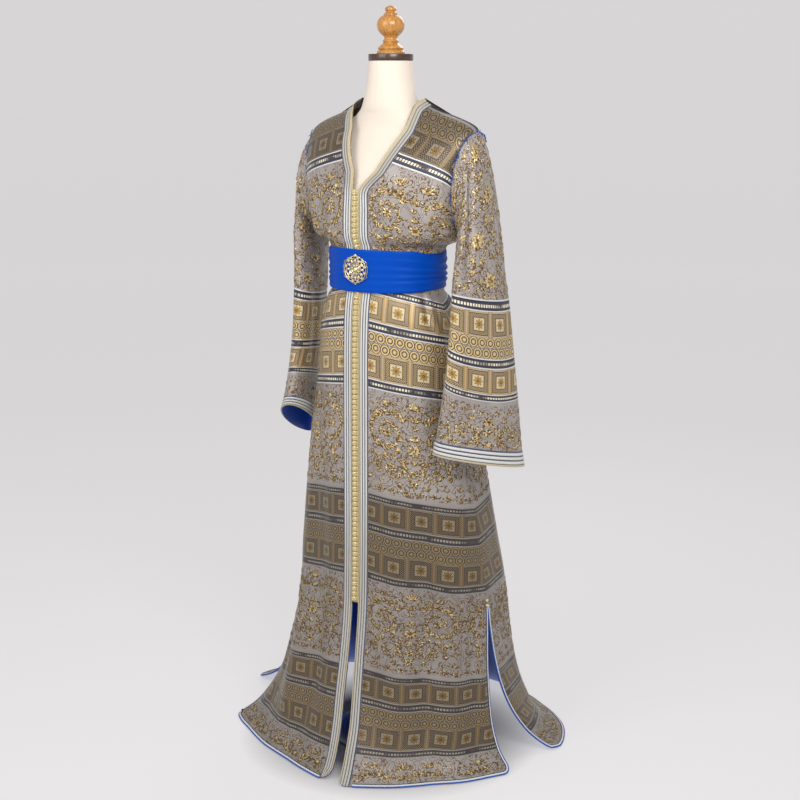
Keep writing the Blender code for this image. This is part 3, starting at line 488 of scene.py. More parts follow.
def panel(side):
    # closer rows near the shoulders, where the back's are farther apart than the front's
    fine = RUN_TOP + SHOULDER_REACH
    runs = np.concatenate([np.linspace(RUN_TOP, fine, SHOULDER_ROWS, endpoint=False),
                           np.linspace(fine, RUN_HEM, PANEL_ROWS - SHOULDER_ROWS)])
    places = np.interp(runs, dense_run, dense)
    places[0], places[-1] = 0.0, LAST
    rows, lengths = [], []
    for place in places:
        curve = back_curve(place) if side == "back" else front_curve(side, place)
        row, length = resampled(curve, PANEL_COLUMNS[side])
        rows.append(row)
        lengths.append(length)
    grid, lengths = np.array(rows), np.array(lengths)
    share = np.linspace(0.0, 1.0, PANEL_COLUMNS[side])[None, :] * np.ones((PANEL_ROWS, 1))
    u = share * lengths[:, None] - (0.5 * lengths[:, None] if side == "back" else 0.0)
    v = runs[:, None] * np.ones_like(share)
    level = grid_normals(grid, INSIDE)
    level[:, :, 2] = 0.0
    level = unit(level)
    calm = np.clip(np.minimum(share, 1.0 - share) * lengths[:, None] / 0.030, 0.0, 1.0)
    if side != "back":
        calm = np.clip((1.0 - share) * lengths[:, None] / 0.020, 0.0, 1.0)
        calm *= np.clip((u - 0.020) / 0.030, 0.0, 1.0)
    calm *= np.clip((v - RUN_TOP) / SHOULDER_REACH, 0.0, 1.0)
    push = fold_push(side, share, grid[:, :, 2]) + calm * crease_push(side, u, v)
    push = push + blouse(side, share, grid[:, :, 2])
    grid = grid + level * push[:, :, None]
    first, second = CORNERS[side]
    round_corner(grid, PANEL_ROWS - HEM_ROWS, True, first)
    round_corner(grid, PANEL_ROWS - HEM_ROWS, False, second)
    grid[-1, :, 2] = np.maximum(grid[-1, :, 2], HEM_LEVEL)
    return {"points": grid, "normals": grid_normals(grid, INSIDE),
            "u": u, "v": v, "lengths": lengths,
            "pattern": v - pattern_lag(side, share, v)}


panels = {side: panel(side) for side in ("left", "right", "back")}
SLIT_ROW, LINING_ROW = (
    int(np.searchsorted(panels["left"]["v"][:, 0], np.interp(place, dense, dense_run)))
    for place in (SLIT_PLACE, LINING_PLACE))
for row in range(SLIT_ROW + 1):
    # the normals are shared along the side seams
    for side, column in (("left", 0), ("right", -1)):
        shared = unit(panels[side]["normals"][row, -1] + panels["back"]["normals"][row, column])
        panels[side]["normals"][row, -1] = panels["back"]["normals"][row, column] = shared
tip, neck = np.array(FRONT_TABLE[0][3:6]), np.array(FRONT_TABLE[0][0:3])
slope = math.atan2(neck[0] - tip[0], tip[1] - neck[1])
for side, sign in (("left", 1.0), ("right", -1.0)):
    # and along the shoulder seams
    ridge = np.array([sign * math.sin(slope), 0.0, math.cos(slope)])
    panels[side]["normals"][0, :] = ridge
    beyond = sign * panels["back"]["points"][0, :, 0] > neck[1] - 0.001
    panels["back"]["normals"][0, beyond] = ridge


def shell(name, grid, normals, uv, outer, inner, ring=False, keep=None):
    """A closed wall of cloth over a grid, with the cut's own metres as its UV map.

    A ring's grid repeats its first column as its last one. The outside faces come
    first, then as many inside ones, then the rim.
    """
    rows, columns = grid.shape[:2]
    wide = columns - 1 if ring else columns
    cells = [(i, j) for i in range(rows - 1) for j in range(columns - 1)
             if keep is None or keep(i, j)]
    reach = (grid + outer * normals)[:, :wide], (grid + inner * normals)[:, :wide]
    a, b, c = reach[0][0, 0], reach[0][1, 0], reach[0][1, 1]
    flip = float(np.cross(b - a, c - a) @ normals[0, 0]) < 0
    verts = np.concatenate([part.reshape(-1, 3) for part in reach])
    faces, loops, edges = [], [], {}
    for layer in (0, 1):
        for i, j in cells:
            quad = [(i, j), (i + 1, j), (i + 1, j + 1), (i, j + 1)]
            if flip != (layer == 1):
                quad.reverse()
            faces.append([layer * rows * wide + r * wide + q % wide for r, q in quad])
            loops += quad
            if layer == 0:
                for k in range(4):
                    (r0, q0), (r1, q1) = quad[k], quad[(k + 1) % 4]
                    start, end = (r0, q0 % wide), (r1, q1 % wide)
                    if (end, start) in edges:
                        del edges[(end, start)]
                    else:
                        edges[(start, end)] = (quad[k], quad[(k + 1) % 4])
    for (start, end), (from_key, to_key) in edges.items():
        s, e = start[0] * wide + start[1], end[0] * wide + end[1]
        faces.append([e, s, rows * wide + s, rows * wide + e])
        loops += [to_key, from_key, from_key, to_key]
    mesh = bpy.data.meshes.new(name)
    used = sorted({index for face in faces for index in face})
    renumber = {old: new for new, old in enumerate(used)}
    mesh.from_pydata(verts[used].tolist(), [], [[renumber[k] for k in face] for face in faces])
    layer = mesh.uv_layers.new(name="cut")
    layer.data.foreach_set("uv", np.array([uv[key] for key in loops], dtype=np.float32).ravel())
    mesh.shade_smooth()
    mesh.set_sharp_from_angle(angle=math.radians(60))
    piece = placed(name, mesh)
    piece["outside_faces"] = len(cells)
    return piece


# ------------------------------------------------------------------ brocade
# Silver-lilac satin ground with bands woven in gold and navy across it: a pearled border,
# framed squares with a rosette in each, and two rows of linked rings.
class Socket:
    """A shader value that ordinary arithmetic builds on."""

    def __init__(self, tree, output):
        self.tree, self.output = tree, output

    def math(self, operation, *others):
        node = self.tree.nodes.new("ShaderNodeMath")
        node.operation = operation
        for place, value in enumerate((self, *others)):
            if isinstance(value, Socket):
                self.tree.links.new(value.output, node.inputs[place])
            else:
                node.inputs[place].default_value = value
        return Socket(self.tree, node.outputs[0])

    def __add__(self, other):
        return self.math("ADD", other)

    def __sub__(self, other):
        return self.math("SUBTRACT", other)

    def __mul__(self, other):
        return self.math("MULTIPLY", other)

    def __truediv__(self, other):
        return self.math("DIVIDE", other)

    def __mod__(self, other):
        return self.math("FLOORED_MODULO", other)

    def size(self):
        return self.math("ABSOLUTE")

    def within(self, low, high):
        """1 between two levels, 0 outside them."""
        return self.above(low) * self.below(high)

    def either(self, other):
        return self.math("MAXIMUM", other)

    def above(self, level):
        return self.math("GREATER_THAN", level)

    def below(self, level):
        return self.math("LESS_THAN", level)

    def kept(self, high=1.0):
        """Held between 0 and a highest value."""
        return self.math("MAXIMUM", 0.0).math("MINIMUM", high)

    def waves(self, pitch):
        """A sine that repeats every pitch metres."""
        return (self * (2 * math.pi / pitch)).math("SINE")


def blend(factor, below, above):
    """A colour that goes from below to above with the factor; both colours or sockets."""
    tree = factor.tree
    node = tree.nodes.new("ShaderNodeMix")
    node.data_type = "RGBA"
    tree.links.new(factor.output, node.inputs[0])
    for place, colour in ((6, below), (7, above)):
        if isinstance(colour, tuple):
            node.inputs[place].default_value = (*colour, 1.0)
        else:
            tree.links.new(colour, node.inputs[place])
    return node.outputs[2]


def finish(name, roughness=0.5, metallic=0.0):
    """A new material, its tree and its shader."""
    made = bpy.data.materials.new(name)
    made.use_nodes = True
    shader = made.node_tree.nodes["Principled BSDF"]
    shader.inputs["Roughness"].default_value = roughness
    shader.inputs["Metallic"].default_value = metallic
    return made, made.node_tree, shader


def cut_metres(tree):
    """u across and v down the cloth, from the cut's UV map."""
    source = tree.nodes.new("ShaderNodeUVMap")
    source.uv_map = "cut"
    parts = tree.nodes.new("ShaderNodeSeparateXYZ")
    tree.links.new(source.outputs[0], parts.inputs[0])
    return Socket(tree, parts.outputs[0]), Socket(tree, parts.outputs[1])


def paint(tree, shader, colour):
    tree.links.new(colour, shader.inputs["Base Color"])


def object_axes(tree):
    """x, y and z in the frame."""
    place = tree.nodes.new("ShaderNodeTexCoord")
    parts = tree.nodes.new("ShaderNodeSeparateXYZ")
    tree.links.new(place.outputs["Object"], parts.inputs[0])
    return (Socket(tree, parts.outputs[k]) for k in range(3))


def bump(tree, shader, height, distance, strength=0.6):
    node = tree.nodes.new("ShaderNodeBump")
    node.inputs["Distance"].default_value = distance
    node.inputs["Strength"].default_value = strength
    tree.links.new(height.output, node.inputs["Height"])
    tree.links.new(node.outputs[0], shader.inputs["Normal"])


def mottle(tree, scale, detail=2.0):
    """Even noise in the object's own space, about 0.5."""
    place = tree.nodes.new("ShaderNodeTexCoord")
    noise = tree.nodes.new("ShaderNodeTexNoise")
    noise.inputs["Scale"].default_value = scale
    noise.inputs["Detail"].default_value = detail
    tree.links.new(place.outputs["Object"], noise.inputs["Vector"])
    return Socket(tree, noise.outputs[0])


GROUND = (0.475, 0.430, 0.410)
GROUND_DARK = (0.285, 0.252, 0.232)
CREAM, PALE_FIELD = (0.55, 0.42, 0.22), (0.62, 0.50, 0.30)
GOLD = (0.47, 0.29, 0.085)
PALE_GOLD = (0.74, 0.56, 0.26)
BROWN = (0.060, 0.030, 0.013)
NAVY, BLACKENED = (0.022, 0.030, 0.062), (0.050, 0.038, 0.040)
WHITE_SILK = (0.74, 0.74, 0.72)
REPEAT, SQUARE, RING = 0.44, 0.060, 0.0215
SQUARES_AT, RINGS_AT = (0.2895, 0.4040), 0.3575
BORDERS_AT = ((0.3260, 1.0), (0.2560, 0.72))
BORDER_HALF = 0.0105

brocade, tree, shader = finish("brocade", 0.42, 0.15)
u, v = cut_metres(tree)
w = (v + 0.0001) % REPEAT
edge = (w + BORDER_HALF) % REPEAT - BORDER_HALF


def border(distance, scale):
    """A band's colours over its distance from the middle: silk, navy, dark with pearls."""
    d = distance.size() / scale
    silk = d.within(0.0081, BORDER_HALF)
    navy = d.within(0.0048, 0.0081)
    dark = d.below(0.0048)
    along = (u / 0.0068) % 1.0 - 0.5
    pearl = (along.size() * 0.9).below(0.30) * d.below(0.0026)
    return silk, navy, dark, pearl


def framed_squares(middle):
    """Squares in a row: gold dividers, a beaded dark frame, a pale field, a rosette."""
    x = ((u / SQUARE) % 1.0 - 0.5) * SQUARE
    y = w - middle
    inside = y.size().below(0.0258)
    reach = x.size().math("MAXIMUM", y.size() * 1.08)
    beads = (u.waves(0.0048) * w.waves(0.0048)).above(0.34)
    frame_band = reach.within(0.0150, 0.0222) * inside
    lines = reach.within(0.0137, 0.0150).either(reach.within(0.0222, 0.0236)) * inside
    divider = x.size().within(0.0262, 0.0285) * inside
    rim = (y.size().within(0.0236, 0.0258) * beads).either(divider)
    rungs = x.size().within(0.0238, 0.0262).either(reach.within(0.0096, 0.0118))
    rungs = rungs * inside * w.waves(0.0040).above(0.1)
    field = reach.below(0.0125) * inside
    around = x.math("ARCTAN2", y)
    radius = (x * x + y * y).math("SQRT")
    petals = (around * 8.0).math("COSINE") * 0.0022 + 0.0078
    flower = (radius - petals).below(0.0) * field
    flower_edge = (radius - petals).within(0.0, 0.0010) * field
    heart = radius.within(0.0016, 0.0030) * field
    flower_dark = flower_edge.either(heart)
    return frame_band, frame_band * beads, lines, rim, rungs, field, flower, flower_dark


def linked_rings(middle):
    """Two rows of scalloped links with a string of pearls between them."""
    y = w - middle
    inside = y.size().below(0.0205)
    row = y.size() - 0.0104
    x = ((u / RING + y.above(0.0) * 0.5) % 1.0 - 0.5) * RING
    radius = (x * x + row * row).math("SQRT")
    gold = (radius - 0.0081).size().below(0.0014).either(radius.below(0.0022))
    dark = (radius - 0.0103).size().below(0.0009).either((radius - 0.0056).size().below(0.0012))
    pearl = ((u / 0.0074) % 1.0 - 0.5).size().below(0.28) * y.size().below(0.0015)
    return gold * inside, dark * inside, pearl


grain = mottle(tree, 900.0, 3.0)
cloud = mottle(tree, 9.0, 2.0)
speck = mottle(tree, 260.0, 1.0)
patch = mottle(tree, 34.0, 2.0)
colour = blend((cloud - 0.35) * 1.6, GROUND_DARK, GROUND)
colour = blend(grain * 0.30, colour, GROUND_DARK)
height = (u * (2 * math.pi / 0.0011) + v * (2 * math.pi / 0.0011)).math("SINE") * 0.15
# fine brown tendrils wander between the field's figures, too thin to stand up
wander = mottle(tree, 30.0, 3.0)
field_zone = w.within(0.0115, 0.2400)
tendrils = (wander - 0.5).size().below(0.012)
for level in (0.585, 0.42):
    tendrils = tendrils.either((wander - level).size().below(0.010))
tendrils = tendrils * field_zone
colour = blend(tendrils * 0.88, colour, (0.125, 0.066, 0.026))
# the field behind the squares and rings is closer and warmer
warm = w.within(0.2640, 0.3150).either(w.within(0.3368, 0.4290))
colour = blend(warm * (speck * 0.9 + 0.15), colour, CREAM)
# painted shade: lower down, and on the shoulders, the bands' gold is painted darker and browner,
# for the light falling off there
low_and_shoulder_shade = ((v - 0.665) * 40.0).kept().either(v.below(-BORDER_HALF))
frame_shade = blend(low_and_shoulder_shade, (0.150, 0.108, 0.070), (0.046, 0.036, 0.036))
gold_rings, dark_rings, pearls = linked_rings(RINGS_AT)
gilt = gold_rings
for middle in SQUARES_AT:
    dark_frame, beads, lines, rim, rungs, field, flower, flower_dark = framed_squares(middle)
    for zone, shade in ((dark_frame, frame_shade), (beads, PALE_GOLD), (lines, BROWN),
                        (rim, GOLD), (rungs, (0.10, 0.065, 0.040)), (field, PALE_FIELD),
                        (flower, GOLD), (flower_dark, BROWN)):
        colour = blend(zone, colour, shade)
    gilt = gilt.either(beads).either(rim).either(flower)
colour = blend(dark_rings, colour, (0.075, 0.042, 0.022))
colour = blend(gold_rings, colour, (0.74, 0.55, 0.25))
colour = blend(pearls, colour, (0.16, 0.19, 0.27))
for distance, scale in ((edge, 1.0), *((w - middle, scale) for middle, scale in BORDERS_AT)):
    silk, navy, dark, pearl = border(distance, scale)
    colour = blend(silk * 0.75, colour, WHITE_SILK)
    colour = blend(navy, colour, NAVY)
    colour = blend(dark, colour, BLACKENED)
    worn = ((patch - 0.36) * 5.0).math("MINIMUM", 1.0)
    colour = blend(pearl * worn, colour, (0.80, 0.74, 0.58))
    height = height + silk * 0.6 + pearl
banded = w.above(0.2480).either(w.below(BORDER_HALF))
# painted shade: lower down and on the shoulders the bands, and less the ground between them, are
# darkened
colour = blend(low_and_shoulder_shade * (banded * 0.45 + 0.22), colour, (0.040, 0.026, 0.018))
paint(tree, shader, colour)
tree.links.new((gilt * 0.42 + 0.16).output, shader.inputs["Metallic"])
tree.links.new((gilt * -0.08 + 0.46 + (grain - 0.5) * 0.12).output, shader.inputs["Roughness"])
shader.inputs["Sheen Weight"].default_value = 0.18
shader.inputs["Sheen Roughness"].default_value = 0.35
bump(tree, shader, height + gilt, 0.00025, 0.55)

# The satin inside, a deep royal blue, also faces the sleeves.
satin, tree, shader = finish("blue_satin", 0.34)
grain = mottle(tree, 700.0, 3.0)
paint(tree, shader, blend(grain * 0.5, (0.002, 0.070, 0.46), (0.003, 0.050, 0.33)))
shader.inputs["Sheen Weight"].default_value = 0.35
shader.inputs["Sheen Tint"].default_value = (0.25, 0.45, 1.0, 1.0)
shader.inputs["Anisotropic"].default_value = 0.5
bump(tree, shader, grain, 0.0002, 0.4)

for side, name in PANEL_NODES:
    cut = panels[side]
    uv = np.stack([cut["u"] + (0.0 if side != "back" else 0.5 * SQUARE), cut["pattern"]], axis=2)
    cloth = shell("cloth_" + name, cut["points"], cut["normals"], uv, 0.0, -CLOTH)
    cloth.data.materials.append(brocade)
    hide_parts(name)
    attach(cloth, "root")

    inside = CLOTH + GAP
    satin_sheet = shell("satin_" + name, cut["points"], cut["normals"], uv, -inside,
                        -inside - LINING, keep=lambda row, _: row >= LINING_ROW)
    satin_sheet.data.materials.append(satin)
    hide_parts("lining_" + name)
    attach(satin_sheet, "root")
    lengths = cut["lengths"][LINING_ROW:]


# ------------------------------------------------------------------ sleeves
# Straight set-in sleeves that widen to the cuff, cut from the same brocade the other way
# up, lined in the blue satin and pressed with one long crease down the front.
SLEEVE_COLUMNS, SLEEVE_FINE_ROWS, SLEEVE_STEPS = 80, 120, 401
# the pattern's run at a distance below the shoulder, along the sleeve: it runs backwards
SLEEVE_PATTERN = ((-0.1, 0.39), (0.0, 0.28), (0.255, 0.0), (0.72, -0.46))


def sleeve_lag(side, turn):
    """How much lower the woven bands lie round the sleeve; turn 0 is its outer side."""
    if side == "left":
        return 0.016 * (1.0 + np.cos(turn)) - 0.008
    return 0.026 + 0.006 * np.sin(turn)


def steps_round(grid):
    """The step across every column of closed rings of points."""
    across = np.empty_like(grid)
    across[:, 1:-1] = grid[:, 2:] - grid[:, :-2]
    across[:, 0] = across[:, -1] = grid[:, 1] - grid[:, -2]
    return across


def sleeve(side):
    turn = np.linspace(0.0, 2.0 * math.pi, SLEEVE_COLUMNS + 1)
    loop = []
    for angle in turn:
        place = 16.0 * (angle / (2.0 * math.pi) % 1.0)
        _, _, _, z, x, y, _ = smooth_rows(ROWS_FRONT["left"], min(place, 8.0))
        if place > 8.0:
            z, x, y = smooth_rows(ROWS_BACK, 16.0 - place)[:3]
            y += 0.5 * GAP
        elif place > 0.0:
            y -= 0.5 * GAP
        loop.append((x + 2.0 * GAP, y, z))
    rings = [np.array(loop)]
    for *folds, puff, rise in SLEEVE_RINGS[side]:
        front, back = np.array(folds[:3]), np.array(folds[3:])
        middle, reach = 0.5 * (front + back), 0.5 * (front - back)
        level = np.array([-reach[1], reach[0], 0.0])
        out = puff * level / np.linalg.norm(level) + np.array([0.0, 0.0, rise])
        rings.append(middle + np.outer(np.cos(turn), out) + np.outer(np.sin(turn), reach))
    flat = [ring.reshape(-1) for ring in rings]
    coarse = np.array([smooth_rows(flat, place).reshape(-1, 3)
                       for place in np.linspace(0.0, len(flat) - 1.0, SLEEVE_STEPS)])
    down = np.linalg.norm(np.diff(coarse, axis=0), axis=2).mean(axis=1)
    run = np.concatenate([[0.0], np.cumsum(down)])
    at = np.linspace(0.0, run[-1], SLEEVE_FINE_ROWS)
    at[-8:] = np.linspace(run[-1] - 0.034, run[-1], 8)
    places = np.interp(at, run, np.linspace(0.0, len(flat) - 1.0, SLEEVE_STEPS))
    grid = np.array([smooth_rows(flat, place).reshape(-1, 3) for place in places])
    around = np.linalg.norm(np.diff(grid, axis=1), axis=2)
    u = np.concatenate([np.zeros((len(grid), 1)), np.cumsum(around, axis=1)], axis=1)
    u = np.where(u > 0.5 * u[:, -1:], u - u[:, -1:], u)
    v = np.ones_like(u) * at[:, None]
    normals = unit(np.cross(steps_round(grid), np.gradient(grid, axis=0)))
    middle = grid.mean(axis=1, keepdims=True)
    if np.sum(normals * (grid - middle)) < 0:
        normals = -normals
    calm = (np.clip(at / 0.05, 0.0, 1.0) * np.clip((run[-1] - at) / 0.05, 0.0, 1.0))[:, None]
    grid = grid + normals * (calm * crease_push("sleeve_" + side, u, v))[:, :, None]
    bent = unit(np.cross(steps_round(grid), np.gradient(grid, axis=0)))
    normals = bent * np.sign(np.sum(bent * normals, axis=2, keepdims=True))
    normals[0, :, 0] = 0.0
    normals[0] = unit(normals[0])
    if side == "right":
        grid, normals = grid * [-1.0, 1.0, 1.0], normals * [-1.0, 1.0, 1.0]
    return {"points": grid, "normals": normals, "u": u, "v": v, "run": run[-1],
            "around": around.sum(axis=1)}


sleeves = {side: sleeve(side) for side in ("left", "right")}
for side, cut in sleeves.items():
    turn = np.linspace(0.0, 2.0 * math.pi, SLEEVE_COLUMNS + 1)[None, :]
    pattern = np.interp(cut["v"] - sleeve_lag(side, turn), *zip(*SLEEVE_PATTERN))
    # nothing but floral field is woven above the upper border
    pattern = np.where(pattern > 0.0, pattern * 0.2 / 0.28, pattern) + REPEAT
    uv = np.stack([cut["u"], pattern], axis=2)
    cloth = shell("cloth_sleeve_" + side, cut["points"], cut["normals"], uv, 0.0, -CLOTH,
                  ring=True)
    cloth.data.materials.append(brocade)
    cloth.data.materials.append(satin)
    count = cloth["outside_faces"]
    inner_faces = np.zeros(len(cloth.data.polygons), dtype=np.int32)
    inner_faces[count:2 * count] = 1
    cloth.data.polygons.foreach_set("material_index", inner_faces)
    # the pattern goes on round where u turns over, so no face spans its jump
    layer = cloth.data.uv_layers["cut"].data
    for polygon in cloth.data.polygons:
        across = [layer[k].uv.x for k in polygon.loop_indices]
        if max(across) - min(across) > 0.1:
            for k in polygon.loop_indices:
                if layer[k].uv.x < 0.0:
                    layer[k].uv.x += float(cut["around"][-1])
    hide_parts("sleeve_" + side)
    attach(cloth, "root")
    "front_" + side


# ------------------------------------------------------------------ floral figures
# The fields between the bands are brocaded with mirrored leafy scrolls, flowers and
# tendrils: gold threads floated over a brown ground weft, standing a little proud.
# Every leaf is its own small raised shape, laid out flat in the cut's metres.
class Figures:
    """Leaves and stems in the flat of the cloth, two threads deep."""

    def __init__(self, seed):
        self.random = random.Random(seed)
        self.points, self.lifts, self.faces, self.tones = [], [], [], []

    def add(self, outline, faces, lifts, tone):
        first = len(self.points)
        self.points += outline
        self.lifts += lifts
        for face in faces:
            self.faces.append([first + k for k in face])
            self.tones.append(tone)

    def leaf(self, x, y, angle, length, width, bend=0.0, tone=None):
        """A pointed leaf: a flat brown one below and a ridged gold one on it; the brown one is an
        outline thread and, shifted to one side, a painted shadow.
        """
        if tone is None:
            tone = self.random.choice((0.22, 0.35, 0.50, 0.65, 0.85, 1.0))
        length, width = length * 1.02, width * 0.86
        ca, sa = math.cos(angle), math.sin(angle)
        rows = ((0.0, 0.0), (0.30, 0.5), (0.68, 0.36), (1.0, 0.0))
        for thread, (wide, dx, dy) in enumerate(((1.45, 0.0008, 0.0010), (0.80, 0.0, 0.0))):
            left, right = [], []
            for s, half in rows:
                a, curve = s * length, bend * s * s * length
                for sign, line in ((1.0, left), (-1.0, right)):
                    b = curve + sign * half * width * wide
                    line.append((x + a * ca - b * sa + dx, y + a * sa + b * ca + dy))
            outline = [left[0], *right[1:3], left[3], *left[2:0:-1]]
            if thread == 0:
                self.add(outline, [(0, 1, 2, 3, 4, 5)], [0.00030] * 6, 0.0)
            else:
                a, curve = 0.5 * length, bend * 0.25 * length
                outline.append((x + a * ca - curve * sa, y + a * sa + curve * ca))
                faces = [(k, (k + 1) % 6, 6) for k in range(6)]
                self.add(outline, faces, [0.00045] * 6 + [0.00115], tone)

    def stem(self, path, width, tone=0.5):
        """A tapering stem along a path, over a wider brown one that is an outline thread and,
        shifted to one side, a painted shadow.
        """
        path = np.array(path)
        along = np.gradient(path, axis=0)
        along /= np.maximum(np.linalg.norm(along, axis=1, keepdims=True), 1e-9)
        side = np.stack([-along[:, 1], along[:, 0]], axis=1)
        taper = np.linspace(1.0, 0.55, len(path))[:, None] * 0.5 * width
        for wide, shift, lift, shade in ((2.1, 0.0006, 0.00025, 0.0), (1.0, 0.0, 0.00040, tone)):
            left = path + side * taper * wide + [shift, shift]
            right = path - side * taper * wide + [shift, shift]
            outline = [tuple(p) for p in np.concatenate([left, right])]
            count = len(path)
            faces = [(k, k + count, k + 1 + count, k + 1) for k in range(count - 1)]
            self.add(outline, faces, [lift] * (2 * count), shade)

    def rosette(self, x, y, radius, petals, tone=0.8):
        turn = self.random.uniform(0.0, 1.0)
        for k in range(petals):
            angle = 2.0 * math.pi * k / petals + turn
            self.leaf(x + 0.24 * radius * math.cos(angle), y + 0.24 * radius * math.sin(angle),
                      angle, 0.80 * radius, 0.62 * radius, 0.0, tone - 0.25 * (k % 2))
        for k in range(5):
            angle = 2.0 * math.pi * k / 5
            self.leaf(x - 0.02 * radius, y, angle, 0.26 * radius, 0.20 * radius, 0.0, 0.15)

    def spray(self, x, y, angle, count, length, spread=1.9):
        for k in range(count):
            part = (k + 0.5) / count - 0.5
            size = length * (1.0 - 0.9 * part * part) * self.random.uniform(0.9, 1.1)
            self.leaf(x, y, angle + part * spread, size, 0.34 * length, 0.3 * part)

    def curl(self, x, y, radius, start, turns, width=0.0013):
        """A tendril that curls in and ends in a bud."""
        path = []
        for k in range(12):
            s = k / 11
            r = radius * (1.0 - 0.72 * s)
            a = start + turns * 2.0 * math.pi * s
            path.append((x + r * math.cos(a), y + r * math.sin(a)))
        self.stem(path, width)
        self.leaf(path[-1][0], path[-1][1], start + turns * 6.28, 0.30 * radius, 0.24 * radius)

    def scroll(self, x, y, radius, end, start, turns, leaf_length, spacing=0.0062):
        """A spiral stem with leaves combed along both sides of it."""
        reach = 0.5 * (radius + end) * abs(turns) * 2.0 * math.pi
        count = max(8, int(reach / 0.0055))
        path, directions = [], []
        for k in range(count + 1):
            s = k / count
            r = radius + (end - radius) * s ** 0.85
            a = start + turns * 2.0 * math.pi * s
            path.append((x + r * math.cos(a), y + r * math.sin(a)))
            directions.append(a + math.copysign(math.pi / 2, turns))
        self.stem(path, 0.0015, 0.35)
        steps = max(5, int(reach / spacing))
        for k in range(steps):
            s = (k + self.random.uniform(0.3, 0.7)) / steps
            index = min(int(s * count), count - 1)
            px, py = path[index]
            heading = directions[index]
            size = leaf_length * (1.0 - 0.45 * s) * self.random.uniform(0.80, 1.15)
            outer = -1.0 if turns > 0 else 1.0
            self.leaf(px, py, heading + outer * self.random.uniform(0.55, 0.85), size, 0.38 * size,
                      -0.25 * outer)
            if k % 2 == 0:
                self.leaf(px, py, heading - outer * self.random.uniform(0.6, 0.9), 0.72 * size,
                          0.27 * size, 0.25 * outer)

    def mirrored(self, draw):
        """Draw once, then again as the mirror image about x = 0."""
        before = len(self.points), len(self.faces)
        draw()
        points, lifts = self.points[before[0]:], self.lifts[before[0]:]
        faces, tones = self.faces[before[1]:], self.tones[before[1]:]
        shift = len(self.points) - before[0]
        self.points += [(-px, py) for px, py in points]
        self.lifts += lifts
        self.faces += [[k + shift for k in reversed(face)] for face in faces]
        self.tones += tones


def field_unit(seed):
    """One mirrored repeat of the field, 0.24 wide and 0.23 long, y down the cloth."""
    unit_figures = Figures(seed)

    def half():
        f = unit_figures
        f.scroll(0.060, 0.088, 0.047, 0.013, -2.5, 1.45, 0.0160, 0.0052)
        f.rosette(0.060, 0.088, 0.0115, 7)
        f.scroll(0.046, 0.166, 0.033, 0.009, 0.4, -1.25, 0.0130, 0.0052)
        f.rosette(0.046, 0.166, 0.0090, 6)
        f.scroll(0.097, 0.156, 0.022, 0.007, 2.2, 1.10, 0.0105, 0.0050)
        f.scroll(0.024, 0.040, 0.016, 0.005, 0.2, 1.05, 0.0085, 0.0050)
        f.scroll(0.099, 0.036, 0.017, 0.005, 3.4, -1.10, 0.0085, 0.0050)
        f.scroll(0.020, 0.106, 0.012, 0.004, 5.4, -1.00, 0.0070, 0.0050)
        f.stem([(0.003, 0.195), (0.010, 0.182), (0.016, 0.160), (0.018, 0.140),
                (0.012, 0.124)], 0.0020)
        f.stem([(0.104, 0.110), (0.111, 0.094), (0.112, 0.074), (0.108, 0.058),
                (0.104, 0.050)], 0.0018)
        for y in (0.104, 0.094, 0.084, 0.074, 0.064):
            f.leaf(0.111, y, -0.6, 0.0115, 0.0042)
            f.leaf(0.110, y, -2.5, 0.0115, 0.0042)
        for y in (0.184, 0.174, 0.164, 0.152, 0.140):
            f.leaf(0.0165, y, -0.9, 0.0105, 0.0038)
            f.leaf(0.0150, y, -2.2, 0.0100, 0.0036)
        f.spray(0.062, 0.030, -1.6, 7, 0.0165, 2.4)
        f.curl(0.046, 0.020, 0.0085, 1.2, 0.9)
        f.curl(0.080, 0.020, 0.0085, 2.4, -0.95)
        f.curl(0.088, 0.126, 0.0085, 3.4, 0.9)
        f.curl(0.074, 0.196, 0.0090, 4.6, -0.9)
        f.curl(0.112, 0.128, 0.0070, 1.6, 0.9)
        f.spray(0.044, 0.044, -1.9, 5, 0.0120)
        f.spray(0.082, 0.048, -1.0, 5, 0.0115)
        f.spray(0.030, 0.124, 0.2, 5, 0.0125)
        f.spray(0.078, 0.140, 1.0, 5, 0.0110)
        f.spray(0.028, 0.196, 0.9, 6, 0.0115)
        f.spray(0.104, 0.190, 1.9, 6, 0.0125)
        f.spray(0.064, 0.134, 1.6, 5, 0.0105)
        f.leaf(0.112, 0.012, 2.0, 0.012, 0.0045)
        f.leaf(0.012, 0.016, 0.9, 0.012, 0.0045)
        f.leaf(0.072, 0.208, 0.3, 0.011, 0.0040)
        for k in range(4):
            x = 0.015 + 0.030 * k
            f.rosette(x, 0.2175, 0.0072, 6, 0.7)
            f.leaf(x + 0.0080, 0.2195, -0.7, 0.0090, 0.0034)
            f.leaf(x - 0.0080, 0.2195, -2.4, 0.0090, 0.0034)
    unit_figures.mirrored(half)
    f = unit_figures
    f.spray(0.0, 0.030, -math.pi / 2, 7, 0.0185, 2.6)
    f.spray(0.0, 0.056, -math.pi / 2, 7, 0.0150, 2.6)
    f.spray(0.0, 0.074, -math.pi / 2, 5, 0.0120, 2.2)
    f.rosette(0.0, 0.120, 0.0140, 9, 0.9)
    f.spray(0.0, 0.098, -math.pi / 2, 7, 0.0140, 2.6)
    f.spray(0.0, 0.142, math.pi / 2, 7, 0.0130, 2.6)
    f.rosette(0.0, 0.172, 0.0090, 7, 0.9)
    f.rosette(0.0, 0.196, 0.0095, 7, 0.9)
    return unit_figures


